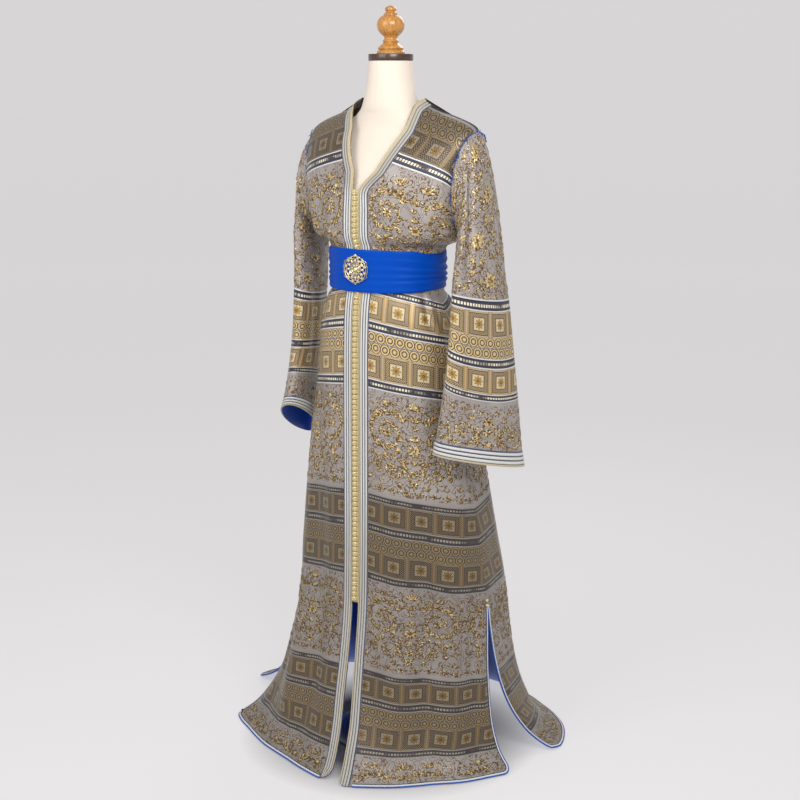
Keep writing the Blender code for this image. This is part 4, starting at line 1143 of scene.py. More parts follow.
def sleeve_unit(seed):
    """The sleeve head's repeat: a big flower on a leafy stalk, 0.12 wide, 0.075 long."""
    f = Figures(seed)
    f.rosette(0.0, 0.030, 0.0155, 9, 0.9)
    f.rosette(0.0, 0.030, 0.0080, 7, 0.6)
    f.stem([(0.0, 0.075), (0.004, 0.064), (0.002, 0.052), (0.0, 0.044)], 0.0016)

    def half():
        f.scroll(0.034, 0.046, 0.0180, 0.006, 2.9, 1.1, 0.0100, 0.0050)
        f.scroll(0.026, 0.012, 0.0110, 0.004, 0.4, -1.0, 0.0075, 0.0048)
        f.spray(0.006, 0.060, 0.4, 6, 0.0120)
        f.spray(0.036, 0.022, -0.9, 6, 0.0120)
        f.spray(0.052, 0.044, 0.2, 5, 0.0100)
        f.curl(0.050, 0.020, 0.0075, 2.0, 0.9)
        f.leaf(0.050, 0.064, 0.6, 0.012, 0.0044)
        f.leaf(0.018, 0.034, -0.2, 0.012, 0.0044)
        f.leaf(0.014, 0.008, -0.5, 0.011, 0.0042)
    f.mirrored(half)
    return f


thread, tree, shader = finish("floated_gold", 0.38, 0.45)
tone = tree.nodes.new("ShaderNodeAttribute")
tone.attribute_name = "tone"
tone = Socket(tree, tone.outputs["Fac"])
colour = blend((tone * 2.0).math("MINIMUM", 1.0), (0.070, 0.036, 0.015), GOLD)
colour = blend(((tone - 0.5) * 2.0).math("MAXIMUM", 0.0), colour, PALE_GOLD)
grain = mottle(tree, 1100.0, 2.0)
colour = blend(grain * 0.30, colour, BROWN)
# painted highlights: random pale glints on the gold thread, and random dark brown spots
glint = mottle(tree, 260.0, 1.0)
colour = blend(((glint - 0.54) * 7.0).kept(0.6), colour, (0.90, 0.78, 0.52))
colour = blend((glint * -7.0 + 3.22).kept(0.6), colour, (0.060, 0.032, 0.014))
# painted shade: the gold threads are darkened towards the bottom, below about 0.67 m
_, _, level = object_axes(tree)
low = (level * -6.0 + 4.0).kept(0.34)
colour = blend(low, colour, (0.050, 0.028, 0.014))
paint(tree, shader, colour)
bump(tree, shader, grain, 0.0003, 0.5)


def lay_out(name, repeats, surface, keep, lag):
    """Lay repeats of flat figures on a fine grid and lift them off it.

    repeats are (figures, u of the middle, v of the top, flip v). surface maps arrays
    of u and v to points and normals; keep says which (u, v) lie clear of the edges.
    """
    all_u, all_v, lifts, faces, tones = [], [], [], [], []
    offset = 0
    for figures, middle, top, flip in repeats:
        flat = np.array(figures.points)
        fu, fv = middle + flat[:, 0], top + flip * flat[:, 1]
        fv = fv + lag(fu, fv)
        good = keep(fu, fv)
        for face, shade in zip(figures.faces, figures.tones):
            if all(good[k] for k in face):
                faces.append([offset + k for k in (face if flip > 0 else reversed(face))])
                tones.append(shade)
        all_u.append(fu)
        all_v.append(fv)
        lifts.append(figures.lifts)
        offset += len(flat)
    points, normals = surface(np.concatenate(all_u), np.concatenate(all_v))
    points = points + normals * np.concatenate(lifts)[:, None]
    used = sorted({k for face in faces for k in face})
    renumber = {old: new for new, old in enumerate(used)}
    faces = [[renumber[k] for k in face] for face in faces]
    points, normals = points[used], normals[used]
    a, b, c = (points[faces[0][k]] for k in range(3))
    if float(np.cross(b - a, c - a) @ normals[faces[0][0]]) < 0:
        faces = [face[::-1] for face in faces]
    mesh = bpy.data.meshes.new(name)
    mesh.from_pydata(points.tolist(), [], faces)
    shades = mesh.attributes.new("tone", "FLOAT", "FACE")
    shades.data.foreach_set("value", np.array(tones, dtype=np.float32))
    mesh.materials.append(thread)
    piece = placed(name, mesh)
    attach(piece, "root")


def grid_surface(cut, rows_v, column_of):
    """A function from u and v to the fine grid's points and normals, between its points."""
    grid, normals = cut["points"], cut["normals"]

    def surface(fu, fv):
        i = np.clip(np.interp(fv, rows_v, np.arange(len(rows_v))), 0.0, len(rows_v) - 1.001)
        j = np.clip(column_of(fu, i), 0.0, grid.shape[1] - 1.001)
        i0, j0 = i.astype(int), j.astype(int)
        si, sj = (i - i0)[:, None], (j - j0)[:, None]
        found = []
        for field in (grid, normals):
            found.append((field[i0, j0] * (1 - sj) + field[i0, j0 + 1] * sj) * (1 - si)
                         + (field[i0 + 1, j0] * (1 - sj) + field[i0 + 1, j0 + 1] * sj) * si)
        return found[0], unit(found[1])
    return surface


field_units = [field_unit(seed) for seed in (11, 12, 13)]
FIELD_TOPS = (0.0115, 0.4515, 0.8915, 1.3315)
for side, name in PANEL_NODES:
    cut = panels[side]
    lengths = cut["lengths"]
    middle = 0.5 if side == "back" else 0.0

    def column_of(fu, i, lengths=lengths, middle=middle, side=side):
        here = np.interp(i, np.arange(len(lengths)), lengths)
        return (fu / here + middle) * (PANEL_COLUMNS[side] - 1)

    def lag(fu, fv, lengths=lengths, middle=middle, side=side, cut=cut):
        share = np.clip(fu / np.interp(fv, cut["v"][:, 0], lengths) + middle, 0.0, 1.0)
        return pattern_lag(side, share, fv)

    def keep(fu, fv, lengths=lengths, side=side, cut=cut):
        here = np.interp(fv, cut["v"][:, 0], lengths)
        margin = np.where(fv > 0.93, 0.0085, 0.0012)
        low = -0.5 * here + margin if side == "back" else 0.0262 + 0.0 * here
        high = (0.5 * here if side == "back" else here) - margin
        return (fu > low) & (fu < high) & (fv < RUN_HEM - 0.0095)

    repeats = []
    for level, top in enumerate(FIELD_TOPS):
        starts = (-0.48, -0.24, 0.0, 0.24, 0.48) if side == "back" else (0.132, 0.372)
        for k, start in enumerate(starts):
            repeats.append((field_units[(level + k) % 3], start, top, 1.0))
    lay_out("figures_" + name, repeats, grid_surface(cut, cut["v"][:, 0], column_of), keep, lag)

for side, cut in sleeves.items():
    v_rows = cut["v"][:, 0]
    around = cut["around"]

    def column_of(fu, i, around=around):
        here = np.interp(i, np.arange(len(around)), around)
        return (fu / here % 1.0) * SLEEVE_COLUMNS

    repeats = []
    big = [sleeve_unit(seed) for seed in (21, 22, 23)]
    upper_border, scale = SLEEVE_PATTERN[2][0], 0.465 / 0.46
    for level in range(4):
        for k, start in enumerate((-0.125, 0.0, 0.125)):
            repeats.append((big[(level + k) % 3], start + 0.03 * (level % 2),
                            upper_border - 0.012 - 0.066 * (level + 1), 1.0))
    low_top = upper_border + scale * 0.1995
    for k, start in enumerate((-0.24, 0.0, 0.24)):
        repeats.append((field_units[k], start, low_top + 0.232, -1.0))

    def lag(fu, fv, around=around, v_rows=v_rows, side=side):
        return sleeve_lag(side, 2.0 * math.pi * fu / np.interp(fv, v_rows, around))

    def keep(fu, fv, cut=cut, v_rows=v_rows, around=around, low_top=low_top):
        here = np.interp(fv, v_rows, around)
        level = fv - lag(fu, fv)
        bands = (level > SLEEVE_PATTERN[2][0] - 0.0125) & (level < low_top + 0.0125)
        return (np.abs(fu) < 0.5 * here - 0.001) & (fv > 0.006) & ~bands & (
            fv < cut["run"] - 0.0355)

    lay_out("figures_sleeve_" + side, repeats, grid_surface(cut, v_rows, column_of), keep, lag)


# ------------------------------------------------------------------ striped braids
# Hand-woven silk braid: three white cords with navy lines between them and a pale gold
# edge, sewn flat beside both front edges, round the neck and round the cuffs.
TRIM_WIDTH, CUFF_WIDTH = 0.025, 0.034
NECK_STEPS = 61
STRIPES = (  # from, up to, colour
    (0.0000, 0.0030, (0.55, 0.46, 0.28)), (0.0030, 0.0045, (0.10, 0.085, 0.06)),
    (0.0045, 0.0088, WHITE_SILK), (0.0088, 0.0112, NAVY), (0.0112, 0.0155, WHITE_SILK),
    (0.0155, 0.0179, NAVY), (0.0179, 0.0222, WHITE_SILK), (0.0222, 0.0250, (0.014, 0.035, 0.12)))
striped, tree, shader = finish("striped_braid", 0.48)
u, v = cut_metres(tree)
colour = blend(u * 0.0, WHITE_SILK, WHITE_SILK)
for low, high, shade in STRIPES:
    colour = blend(u.within(low - (0.01 if low == 0 else 0), high), colour, shade)
# the neck's braid is greyer silk with a broader gold edge, and lower down the braid is painted
# darker as painted shade
_, _, level = object_axes(tree)
high = ((level - 1.262) * 30.0).kept()
deep = (level * -4.0 + 2.48).kept(0.6)
silks = u.within(0.0045, 0.0222)
for zone in (high, deep):
    colour = blend(silks * zone * 0.62, colour, (0.30, 0.25, 0.17))
colour = blend(u.within(-0.01, 0.0060) * high, colour, (0.60, 0.49, 0.27))
ribs = (v * (2 * math.pi / 0.0017) + u * 900.0).math("SINE")
grain = mottle(tree, 1000.0, 2.0)
colour = blend((ribs * 0.5 + 0.5) * 0.22 + grain * 0.12, colour, (0.20, 0.18, 0.16))
paint(tree, shader, colour)
shader.inputs["Sheen Weight"].default_value = 0.25
bump(tree, shader, ribs, 0.0003, 0.7)
ACROSS = np.array(sorted([0.0, TRIM_WIDTH] + [edge_at + side * 0.0004
                         for low, _, _ in STRIPES[1:] for edge_at, side in ((low, -1), (low, 1))]
                         + [0.5 * (low + high) for low, high, _ in STRIPES]))


def braid_height(across):
    """The three cords and the edge stand up like low humps."""
    high = np.full_like(across, 0.00045)
    for low, top, shade in STRIPES:
        if shade == WHITE_SILK or low == 0.0:
            inside = (across >= low) & (across <= top)
            share = np.clip((across - low) / (top - low), 0.0, 1.0)
            high = np.where(inside, 0.0006 + 0.0010 * np.sin(math.pi * share) ** 0.6, high)
    return high


def braid(name, points, normals, along):
    """A strip of striped braid on a grid whose columns run across it."""
    uv = np.stack(np.broadcast_arrays(ACROSS[None, :], along[:, None]), axis=2)
    height = GAP + braid_height(ACROSS)[None, :, None]
    piece = shell("woven_" + name, points, normals, uv, height, GAP)
    piece.data.materials.append(striped)
    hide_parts(name)
    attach(piece, "root")


surfaces = {}
for side, name in PANEL_NODES:
    cut = panels[side]

    def column_of(fu, i, cut=cut, middle=0.5 if side == "back" else 0.0, side=side):
        here = np.interp(i, np.arange(PANEL_ROWS), cut["lengths"])
        return (fu / here + middle) * (PANEL_COLUMNS[side] - 1)

    surfaces[side] = grid_surface(cut, cut["v"][:, 0], column_of)
    if side != "back":
        runs = np.linspace(RUN_TOP, RUN_HEM - 0.0001, 330)
        fu, fv = (a.ravel() for a in np.meshgrid(ACROSS, runs))
        points, normals = (field.reshape(len(runs), len(ACROSS), 3)
                           for field in surfaces[side](fu, fv))
        braid("trim_" + name, points, normals, runs)

# round the back of the neck, from one front's braid to the other's
neck_edge = panels["back"]["points"][0, 60:, 0]
neck_half = float(np.interp(0.083, np.abs(neck_edge), panels["back"]["u"][0, 60:]))
around_neck = np.linspace(-neck_half, neck_half, NECK_STEPS)
down = pattern_run(0.98) - RUN_TOP
fu, fa = np.meshgrid(around_neck, ACROSS)
points, normals = (
    field.reshape(len(ACROSS), NECK_STEPS, 3).swapaxes(0, 1)
    for field in surfaces["back"](fu.ravel(), RUN_TOP + fa.ravel() / TRIM_WIDTH * down))
braid("trim_back_neck", points, normals, around_neck)

for side, cut in sleeves.items():
    rows = np.interp(cut["run"] - ACROSS / TRIM_WIDTH * (CUFF_WIDTH - 0.001), cut["v"][:, 0],
                     np.arange(SLEEVE_FINE_ROWS))
    low = np.minimum(rows.astype(int), SLEEVE_FINE_ROWS - 2)
    share = (rows - low)[:, None, None]
    points, normals = (cut[key][low] * (1 - share) + cut[key][low + 1] * share
                       for key in ("points", "normals"))
    points, normals = points.swapaxes(0, 1), unit(normals.swapaxes(0, 1))
    along = np.linspace(0.0, float(cut["around"][-1]), SLEEVE_COLUMNS + 1)
    uv = np.stack(np.broadcast_arrays(ACROSS[:, None], along[None, :]), axis=2)
    piece = shell("woven_cuff_" + side, points.swapaxes(0, 1), normals.swapaxes(0, 1), uv,
                  GAP + braid_height(ACROSS)[:, None, None], GAP, ring=True)
    piece.data.materials.append(striped)
    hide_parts("trim_cuff_" + side)
    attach(piece, "root")
    "sleeve_" + side


# ------------------------------------------------------------------ piping
# The hems and slits are bound: a blue satin roll over the raw edge, then a narrow white
# braid and a navy line, sewn through to the lining.
PIPING = ((-0.0003, -0.0021), (-0.0015, -0.0018), (-0.0021, -0.0006), (-0.0016, 0.0009),
          (-0.0003, 0.0015), (0.0011, 0.0009), (0.0018, 0.0015), (0.0030, 0.0019),
          (0.0043, 0.0015), (0.0050, 0.0008), (0.0062, 0.0009), (0.0068, 0.0003),
          (-0.0003, 0.0003))
piped, tree, shader = finish("piping", 0.45)
u, v = cut_metres(tree)
colour = blend(u.math("GREATER_THAN", 0.0012), (0.004, 0.075, 0.44), WHITE_SILK)
colour = blend(u.math("GREATER_THAN", 0.0048), colour, NAVY)
ribs = (v * (2 * math.pi / 0.0022) + u * 700.0).math("SINE")
colour = blend((ribs * 0.5 + 0.5) * 0.22, colour, (0.10, 0.10, 0.12))
paint(tree, shader, colour)
bump(tree, shader, ribs, 0.0003, 0.7)


def turned_outwards(mesh, weld=None):
    """Point every face outwards, first welding points that lie closer than weld."""
    shape = bmesh.new()
    shape.from_mesh(mesh)
    if weld:
        bmesh.ops.remove_doubles(shape, verts=shape.verts, dist=weld)
    bmesh.ops.recalc_face_normals(shape, faces=shape.faces)
    shape.to_mesh(mesh)
    shape.free()
    mesh.shade_smooth()


def bound_edge(name, path, normals, inside):
    """The piping's closed section swept along an edge, its ends capped."""
    along = unit(np.gradient(path, axis=0))
    inward = unit(np.cross(normals, along))
    if np.sum(inward * (inside - path)) < 0:
        inward = -inward
    run = run_along(path)
    rings = np.array([[path[k] + a * inward[k] + b * normals[k] for a, b in PIPING]
                      for k in range(len(path))])
    count = len(PIPING)
    faces, uvs = [], []
    for k in range(len(path) - 1):
        for n in range(count):
            m = (n + 1) % count
            faces.append([k * count + n, k * count + m, (k + 1) * count + m, (k + 1) * count + n])
            uvs += [(PIPING[n][0], run[k]), (PIPING[m][0], run[k]), (PIPING[m][0], run[k + 1]),
                    (PIPING[n][0], run[k + 1])]
    last = (len(path) - 1) * count
    faces += [list(range(count)), [last + n for n in reversed(range(count))]]
    uvs += [(a, 0.0) for a, _ in PIPING] + [(a, run[-1]) for a, _ in reversed(PIPING)]
    mesh = bpy.data.meshes.new(name)
    mesh.from_pydata(rings.reshape(-1, 3).tolist(), [], faces)
    layer = mesh.uv_layers.new(name="cut")
    layer.data.foreach_set("uv", np.array(uvs, dtype=np.float32).ravel())
    turned_outwards(mesh)
    mesh.set_sharp_from_angle(angle=math.radians(70))
    mesh.materials.append(piped)
    piece = placed(name, mesh)
    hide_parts(name)
    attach(piece, "root")


for side, name in PANEL_NODES:
    cut = panels[side]
    first = 0 if side == "back" else int(np.searchsorted(cut["u"][-1], TRIM_WIDTH + 0.0015))
    keys = [(row, PANEL_COLUMNS[side] - 1) for row in range(SLIT_ROW, PANEL_ROWS)]
    keys += [(PANEL_ROWS - 1, column) for column in range(PANEL_COLUMNS[side] - 2, first - 1, -1)]
    if side == "back":
        keys += [(row, 0) for row in range(PANEL_ROWS - 2, SLIT_ROW - 1, -1)]
    path = np.array([cut["points"][key] for key in keys])
    normals = np.array([cut["normals"][key] for key in keys])
    inside = cut["points"][PANEL_ROWS - 25, PANEL_COLUMNS[side] // 2]
    keep_path = np.concatenate([[True], np.linalg.norm(np.diff(path, axis=0), axis=1) > 0.0004])
    bound_edge("piping_" + name, path[keep_path], normals[keep_path], inside)


# ------------------------------------------------------------------ knot buttons
# A flat gold braid closes the fronts edge to edge. Down its middle runs a row of small
# knot buttons, each wrapped from silk cord and held by a pair of cord loops.
def tube(points, radius, sides=6, closed=False):
    """Vertices and faces of a cord along a path."""
    points = np.array(points, dtype=float)
    along = (np.roll(points, -1, axis=0) - np.roll(points, 1, axis=0) if closed
             else np.gradient(points, axis=0))
    along = unit(along)
    first = np.cross(along, [0.0, 0.0, 1.0])
    weak = np.linalg.norm(first, axis=1) < 0.2
    first[weak] = np.cross(along[weak], [0.0, 1.0, 0.0])
    first = unit(first)
    second = np.cross(along, first)
    verts, faces, count = [], [], len(points)
    for k in range(count):
        for n in range(sides):
            turn = 2.0 * math.pi * n / sides
            verts.append(tuple(points[k] + radius * (math.cos(turn) * first[k]
                                                     + math.sin(turn) * second[k])))
    for k in range(count if closed else count - 1):
        for n in range(sides):
            m, j = (n + 1) % sides, (k + 1) % count
            faces.append([k * sides + n, j * sides + n, j * sides + m, k * sides + m])
    if not closed:
        faces += [list(range(sides)), [(count - 1) * sides + n for n in reversed(range(sides))]]
    return verts, faces


def joined(name, parts, material=None):
    """One mesh object from several lists of vertices and faces, normals outwards."""
    verts, faces = [], []
    for part_verts, part_faces in parts:
        shift = len(verts)
        verts += part_verts
        faces += [[k + shift for k in face] for face in part_faces]
    mesh = bpy.data.meshes.new(name)
    mesh.from_pydata(verts, [], faces)
    turned_outwards(mesh)
    mesh.set_sharp_from_angle(angle=math.radians(60))
    if material:
        mesh.materials.append(material)
    return placed(name, mesh)


def stitch_group():
    """Geometry nodes: one unit after another along a path, turned with its surface."""
    group = bpy.data.node_groups.new("along_a_path", "GeometryNodeTree")
    face = group.interface
    face.new_socket("Geometry", in_out="OUTPUT", socket_type="NodeSocketGeometry")
    for name, kind in (("Geometry", "NodeSocketGeometry"), ("Unit", "NodeSocketObject"),
                       ("Spacing", "NodeSocketFloat"), ("Finish", "NodeSocketMaterial")):
        face.new_socket(name, in_out="INPUT", socket_type=kind)
    make = group.nodes.new
    given, result = make("NodeGroupInput"), make("NodeGroupOutput")
    curve, resample = make("GeometryNodeMeshToCurve"), make("GeometryNodeResampleCurve")
    resample.mode = "LENGTH"
    unit_info, place = make("GeometryNodeObjectInfo"), make("GeometryNodeInstanceOnPoints")
    tangent, along, upright = (make("GeometryNodeInputTangent"),
                               make("FunctionNodeAlignRotationToVector"),
                               make("FunctionNodeAlignRotationToVector"))
    outward = make("GeometryNodeInputNamedAttribute")
    outward.data_type = "FLOAT_VECTOR"
    outward.inputs["Name"].default_value = "outward"
    along.axis, upright.axis, upright.pivot_axis = "Z", "Y", "Z"
    realize, paint = make("GeometryNodeRealizeInstances"), make("GeometryNodeSetMaterial")
    for start, socket, end, slot in (
            (given, "Geometry", curve, "Mesh"), (curve, 0, resample, "Curve"),
            (given, "Spacing", resample, "Length"), (resample, 0, place, "Points"),
            (given, "Unit", unit_info, "Object"), (unit_info, "Geometry", place, "Instance"),
            (tangent, 0, along, "Vector"), (along, 0, upright, "Rotation"),
            (outward, 0, upright, "Vector"), (upright, 0, place, "Rotation"),
            (place, 0, realize, 0), (realize, 0, paint, "Geometry"),
            (given, "Finish", paint, "Material"), (paint, 0, result, 0)):
        group.links.new(start.outputs[socket], end.inputs[slot])
    return group


ALONG = stitch_group()


def repeated(name, path, outward, unit_object, spacing, material):
    """The unit repeated along a path, as a plain mesh."""
    mesh = bpy.data.meshes.new(name + "_path")
    mesh.from_pydata([tuple(p) for p in path], [(k, k + 1) for k in range(len(path) - 1)], [])
    lean = mesh.attributes.new("outward", "FLOAT_VECTOR", "POINT")
    lean.data.foreach_set("vector", np.array(outward, dtype=np.float32).ravel())
    holder = placed(name + "_path", mesh)
    modifier = holder.modifiers.new("Along", "NODES")
    modifier.node_group = ALONG
    sockets = {item.name: item.identifier for item in ALONG.interface.items_tree
               if item.in_out == "INPUT"}
    modifier[sockets["Unit"]] = unit_object
    modifier[sockets["Spacing"]] = spacing
    modifier[sockets["Finish"]] = material
    graph = bpy.context.evaluated_depsgraph_get()
    made = bpy.data.meshes.new_from_object(holder.evaluated_get(graph), depsgraph=graph)
    made.name = name
    piece = placed(name, made)
    holder.modifiers.remove(modifier)
    for spare in (holder, unit_object):
        bpy.data.objects.remove(spare, do_unlink=True)
    return piece


silk_gold, tree, shader = finish("gold_silk", 0.36, 0.35)
grain = mottle(tree, 1300.0, 2.0)
paint(tree, shader, blend(grain * 0.9 - 0.1, (0.90, 0.79, 0.47), (0.58, 0.43, 0.17)))
shader.inputs["Sheen Weight"].default_value = 0.3
bump(tree, shader, grain, 0.0003, 0.5)

dull_gold, tree, shader = finish("dull_gold_braid", 0.5, 0.25)
u, v = cut_metres(tree)
twill = (v + u.size()).waves(0.0026) * 0.5 + 0.5
paint(tree, shader, blend(twill, (0.34, 0.25, 0.105), (0.72, 0.58, 0.29)))
bump(tree, shader, twill, 0.0004, 0.6)

heights, depths = np.array([(row[0], row[2]) for row in FRONT_TABLE[::-1]
                            if row[0] <= 1.2835]).T
BRAID_PITCH = 0.0115


def front_depth(z):
    return np.interp(z, heights, depths)


levels = np.arange(SLIT_TOP + 0.001, 1.2825, 0.0023)
profile = ((-0.0082, 0.0002), (-0.0074, 0.0010), (-0.0062, 0.0013), (-0.0052, 0.0006),
           (-0.0030, 0.0009), (0.0, 0.0010), (0.0030, 0.0009), (0.0052, 0.0006),
           (0.0062, 0.0013), (0.0074, 0.0010), (0.0082, 0.0002))
grid = np.array([[(x, front_depth(z), z) for x, _ in profile] for z in levels[::-1]])
facing = np.zeros_like(grid)
facing[:, :, 1] = -1.0
lift = np.array([high for _, high in profile])[None, :, None]
ripple = 0.00025 * np.cos(levels[::-1] * 2 * math.pi / BRAID_PITCH)[:, None, None]
uv = np.stack([grid[:, :, 0], grid[:, :, 2]], axis=2)
strip = shell("closing_braid", grid, facing, uv, lift + ripple + 0.0004, -0.0016)
strip.data.materials.append(dull_gold)
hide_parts("button_braid")
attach(strip, "root")


def wrapped_knot(half, depth, middle, cord, steps):
    """A cord wrapped over itself three times."""
    path = []
    for t in np.linspace(0.0, 4.0 * math.pi, steps, endpoint=False):
        lean = 0.95 * math.sin(1.5 * t)
        path.append((half * math.cos(t) * math.cos(lean), depth * math.sin(lean) + middle,
                     half * math.sin(t) * math.cos(lean)))
    return tube(path, cord, 5, closed=True)


# the knot, and the two loops that it holds shut
parts = [wrapped_knot(0.0038, 0.0032, 0.0032, 0.00140, 44)]
for sign in (1.0, -1.0):
    loop = [(sign * x, 0.0012, z)
            for x, z in ((0.0026, 0.0022), (0.0048, 0.0030), (0.0068, 0.0022), (0.0076, 0.0),
                         (0.0068, -0.0022), (0.0048, -0.0030), (0.0026, -0.0022))]
    parts.append(tube(loop, 0.0009, 5))
button = joined("knot_unit", parts)
steps = np.arange(SLIT_TOP + 0.010, 1.276, 0.004)
# under the sash the row is pressed flat, so it sinks there
path = [(0.0, front_depth(z) - (-0.0035 if 1.057 <= z <= 1.157 else 0.0010), z)
        for z in steps]
knots = repeated("knot_buttons", path, [(0.0, -1.0, 0.0)] * len(path), button, BRAID_PITCH,
                 silk_gold)
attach(knots, "root")


# ------------------------------------------------------------------ lacing and slit knots
# The sleeves are joined to the body with a lacing of royal-blue silk crosses over a fine
# cord round the armhole, and three gold knots stop each side slit from tearing.
silk_blue, tree, shader = finish("blue_silk", 0.42)
grain = mottle(tree, 1300.0, 2.0)
paint(tree, shader, blend(grain, (0.010, 0.085, 0.42), (0.006, 0.035, 0.20)))
shader.inputs["Sheen Weight"].default_value = 0.3

for side, sign in (("left", 1.0), ("right", -1.0)):
    front, back = panels[side], panels["back"]
    column = 0 if side == "left" else -1
    rows = [k for k in range(0, PANEL_ROWS) if front["v"][k, 0] < pattern_run(7.4)]
    path = [back["points"][k, column] for k in rows[::-1]]
    lean = [back["normals"][k, column] for k in rows[::-1]]
    path += [front["points"][k, -1] for k in rows[1:]]
    lean += [front["normals"][k, -1] for k in rows[1:]]
    lean = unit(np.array(lean) + np.array([sign * 0.9, 0.0, 0.0]))
    path = np.array(path) + 0.0016 * lean
    for _ in range(3):
        path[1:-1] = 0.25 * path[:-2] + 0.5 * path[1:-1] + 0.25 * path[2:]
    cord = joined("armhole_cord_" + side, [tube(path, 0.0008, 6)], silk_blue)
    cross = []
    for turned_way in (1.0, -1.0):
        half = [(0.0038, 0.0006, 0.0060 * turned_way), (0.0074, -0.0022, 0.0118 * turned_way)]
        cross.append(tube([*((-x, y, -z) for x, y, z in half[::-1]),
                           (0.0, 0.0014 + 0.0005 * turned_way, 0.0), *half], 0.0010, 5))
    lacing = repeated("armhole_lacing_" + side, path, lean, joined("cross_unit", cross), 0.0400,
                      silk_blue)
    for piece in (cord, lacing):
        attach(piece, "root")
    seam = surfaces[side](np.full(3, float(front["lengths"][SLIT_ROW]) - 0.004),
                          front["v"][SLIT_ROW, 0] - np.array([0.014, 0.0075, 0.001]))
    small = wrapped_knot(0.0024, 0.0024, 0.0018, 0.0010, 40)
    stops = repeated("slit_knots_" + side, seam[0], seam[1], joined("small_knot", [small]),
                     0.0062, silk_gold)
    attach(stops, "root")


# ------------------------------------------------------------------ sash
# The belt is one long sash of royal-blue silk wound round the waist, smooth in front and
# drawn into long level pleats where it turns to the wearer's left side and back.
SASH_BOTTOM, SASH_TOP = 1.061, 1.153
SASH_LIFT, SASH_WALL = 0.0042, 0.0030
SASH_ROWS, SASH_COLUMNS = 44, 220
PLEATS = (
    # height share at the front, at the left side, at the back, strength, half width share
    (0.93, 0.88, 0.90, 0.5, 0.050), (0.80, 0.72, 0.78, 0.9, 0.040),
    (0.67, 0.60, 0.66, -0.8, 0.034), (0.58, 0.52, 0.54, 1.0, 0.034),
    (0.47, 0.44, 0.40, -0.9, 0.028), (0.37, 0.37, 0.33, 1.1, 0.030),
    (0.29, 0.31, 0.24, -1.0, 0.026), (0.20, 0.24, 0.17, 1.0, 0.032),
    (0.11, 0.13, 0.10, -0.5, 0.030))
rings = []
for z in np.linspace(SASH_TOP, SASH_BOTTOM, SASH_ROWS):
    place = float(np.interp(-z, [-row[0] for row in FRONT_TABLE], range(len(FRONT_TABLE))))
    left, right = (front_curve(side, place) for side in ("left", "right"))
    loop = np.concatenate([left, back_curve(place)[1:-1], right[::-1], left[:1]])
    ring, sash_length = resampled(loop, SASH_COLUMNS + 1)
    ring[:, 2] = z
    rings.append(ring)
grid = np.array(rings)
across = steps_round(grid)
normals = unit(np.stack([across[:, :, 1], -across[:, :, 0], 0.0 * across[:, :, 0]], axis=2))
if np.sum(normals[0] * (grid[0] - [0.0, 0.0, SASH_TOP])) < 0:
    normals = -normals
around = np.linspace(0.0, 1.0, SASH_COLUMNS + 1)[None, :]
height = ((grid[:, :, 2] - SASH_BOTTOM) / (SASH_TOP - SASH_BOTTOM))
side_share = np.clip((around - 0.02) / 0.22, 0.0, 1.0) * np.clip((1.0 - around) / 0.22, 0.0, 1.0)
drawn = 0.12 + 0.88 * side_share ** 1.5
push = np.zeros_like(height)
for at_front, at_left, at_back, strength, half in PLEATS:
    middle = np.interp(around, [0.0, 0.22, 0.5, 0.8, 1.0],
                       [at_front, at_left, at_back, at_left - 0.03, at_front])
    middle = middle + 0.012 * np.sin(around * 31.0 + at_left * 40.0)
    push += 0.0021 * strength * drawn * np.exp(-((height - middle) / half) ** 2)
push += 0.0012 * drawn * np.sin(around * 2 * math.pi * 3.0 + height * 4.0)
# its top and bottom edges roll in a little
roll = np.clip(np.minimum(height, 1.0 - height) / 0.05, 0.0, 1.0)
push = push * roll - 0.0016 * (1.0 - roll) ** 2
at_sides = sum(much * np.exp(-((around - where) / 0.085) ** 2)
               for where, much in ((0.25, 1.0), (0.75, 0.8)))
push -= 0.0046 * at_sides * np.abs(2.0 * height - 1.0) ** 3
grid = grid + normals * (push + SASH_LIFT + SASH_WALL)[:, :, None]
grid[:, :, 2] += at_sides * (0.013 * (0.5 - height) - 0.0035)
uv = np.stack(np.broadcast_arrays(around * sash_length, height * (SASH_TOP - SASH_BOTTOM)), axis=2)
sash = shell("wound_sash", grid, normals, uv, 0.0, -0.0016, ring=True)

sash_silk, tree, shader = finish("sash_silk", 0.40)
u, v = cut_metres(tree)
grain = mottle(tree, 800.0, 3.0)
slub = (v * 2600.0 + (mottle(tree, 60.0) * 6.0)).math("SINE")
paint(tree, shader, blend(grain * 0.35, (0.0006, 0.062, 0.43), (0.0004, 0.042, 0.31)))
shader.inputs["Specular IOR Level"].default_value = 0.07
shader.inputs["Sheen Weight"].default_value = 0.02
shader.inputs["Sheen Tint"].default_value = (0.1, 0.35, 1.0, 1.0)
bump(tree, shader, slub * 0.5 + grain, 0.00025, 0.4)
sash.data.materials.append(sash_silk)
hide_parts("belt")
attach(sash, "root")


# ------------------------------------------------------------------ buckle
# A cast and gilded plate on the front of the sash: a six-cornered lobed outline with
# pierced rings, a wreath of petals, beaded wires and a domed boss.
gilt_metal, tree, shader = finish("gilt_metal", 0.30, 0.9)
grain = mottle(tree, 420.0, 4.0)
paint(tree, shader, blend(grain * 1.3 - 0.35, (0.94, 0.83, 0.55), (0.66, 0.50, 0.22)))
tree.links.new((grain * 0.25 + 0.20).output, shader.inputs["Roughness"])
bump(tree, shader, grain, 0.0003, 0.4)
sash_front = float(grid[SASH_ROWS // 2, 0, 1])
BUCKLE_AT = Vector((0.0, sash_front - 0.0008, 0.5 * (SASH_BOTTOM + SASH_TOP) + 0.003))


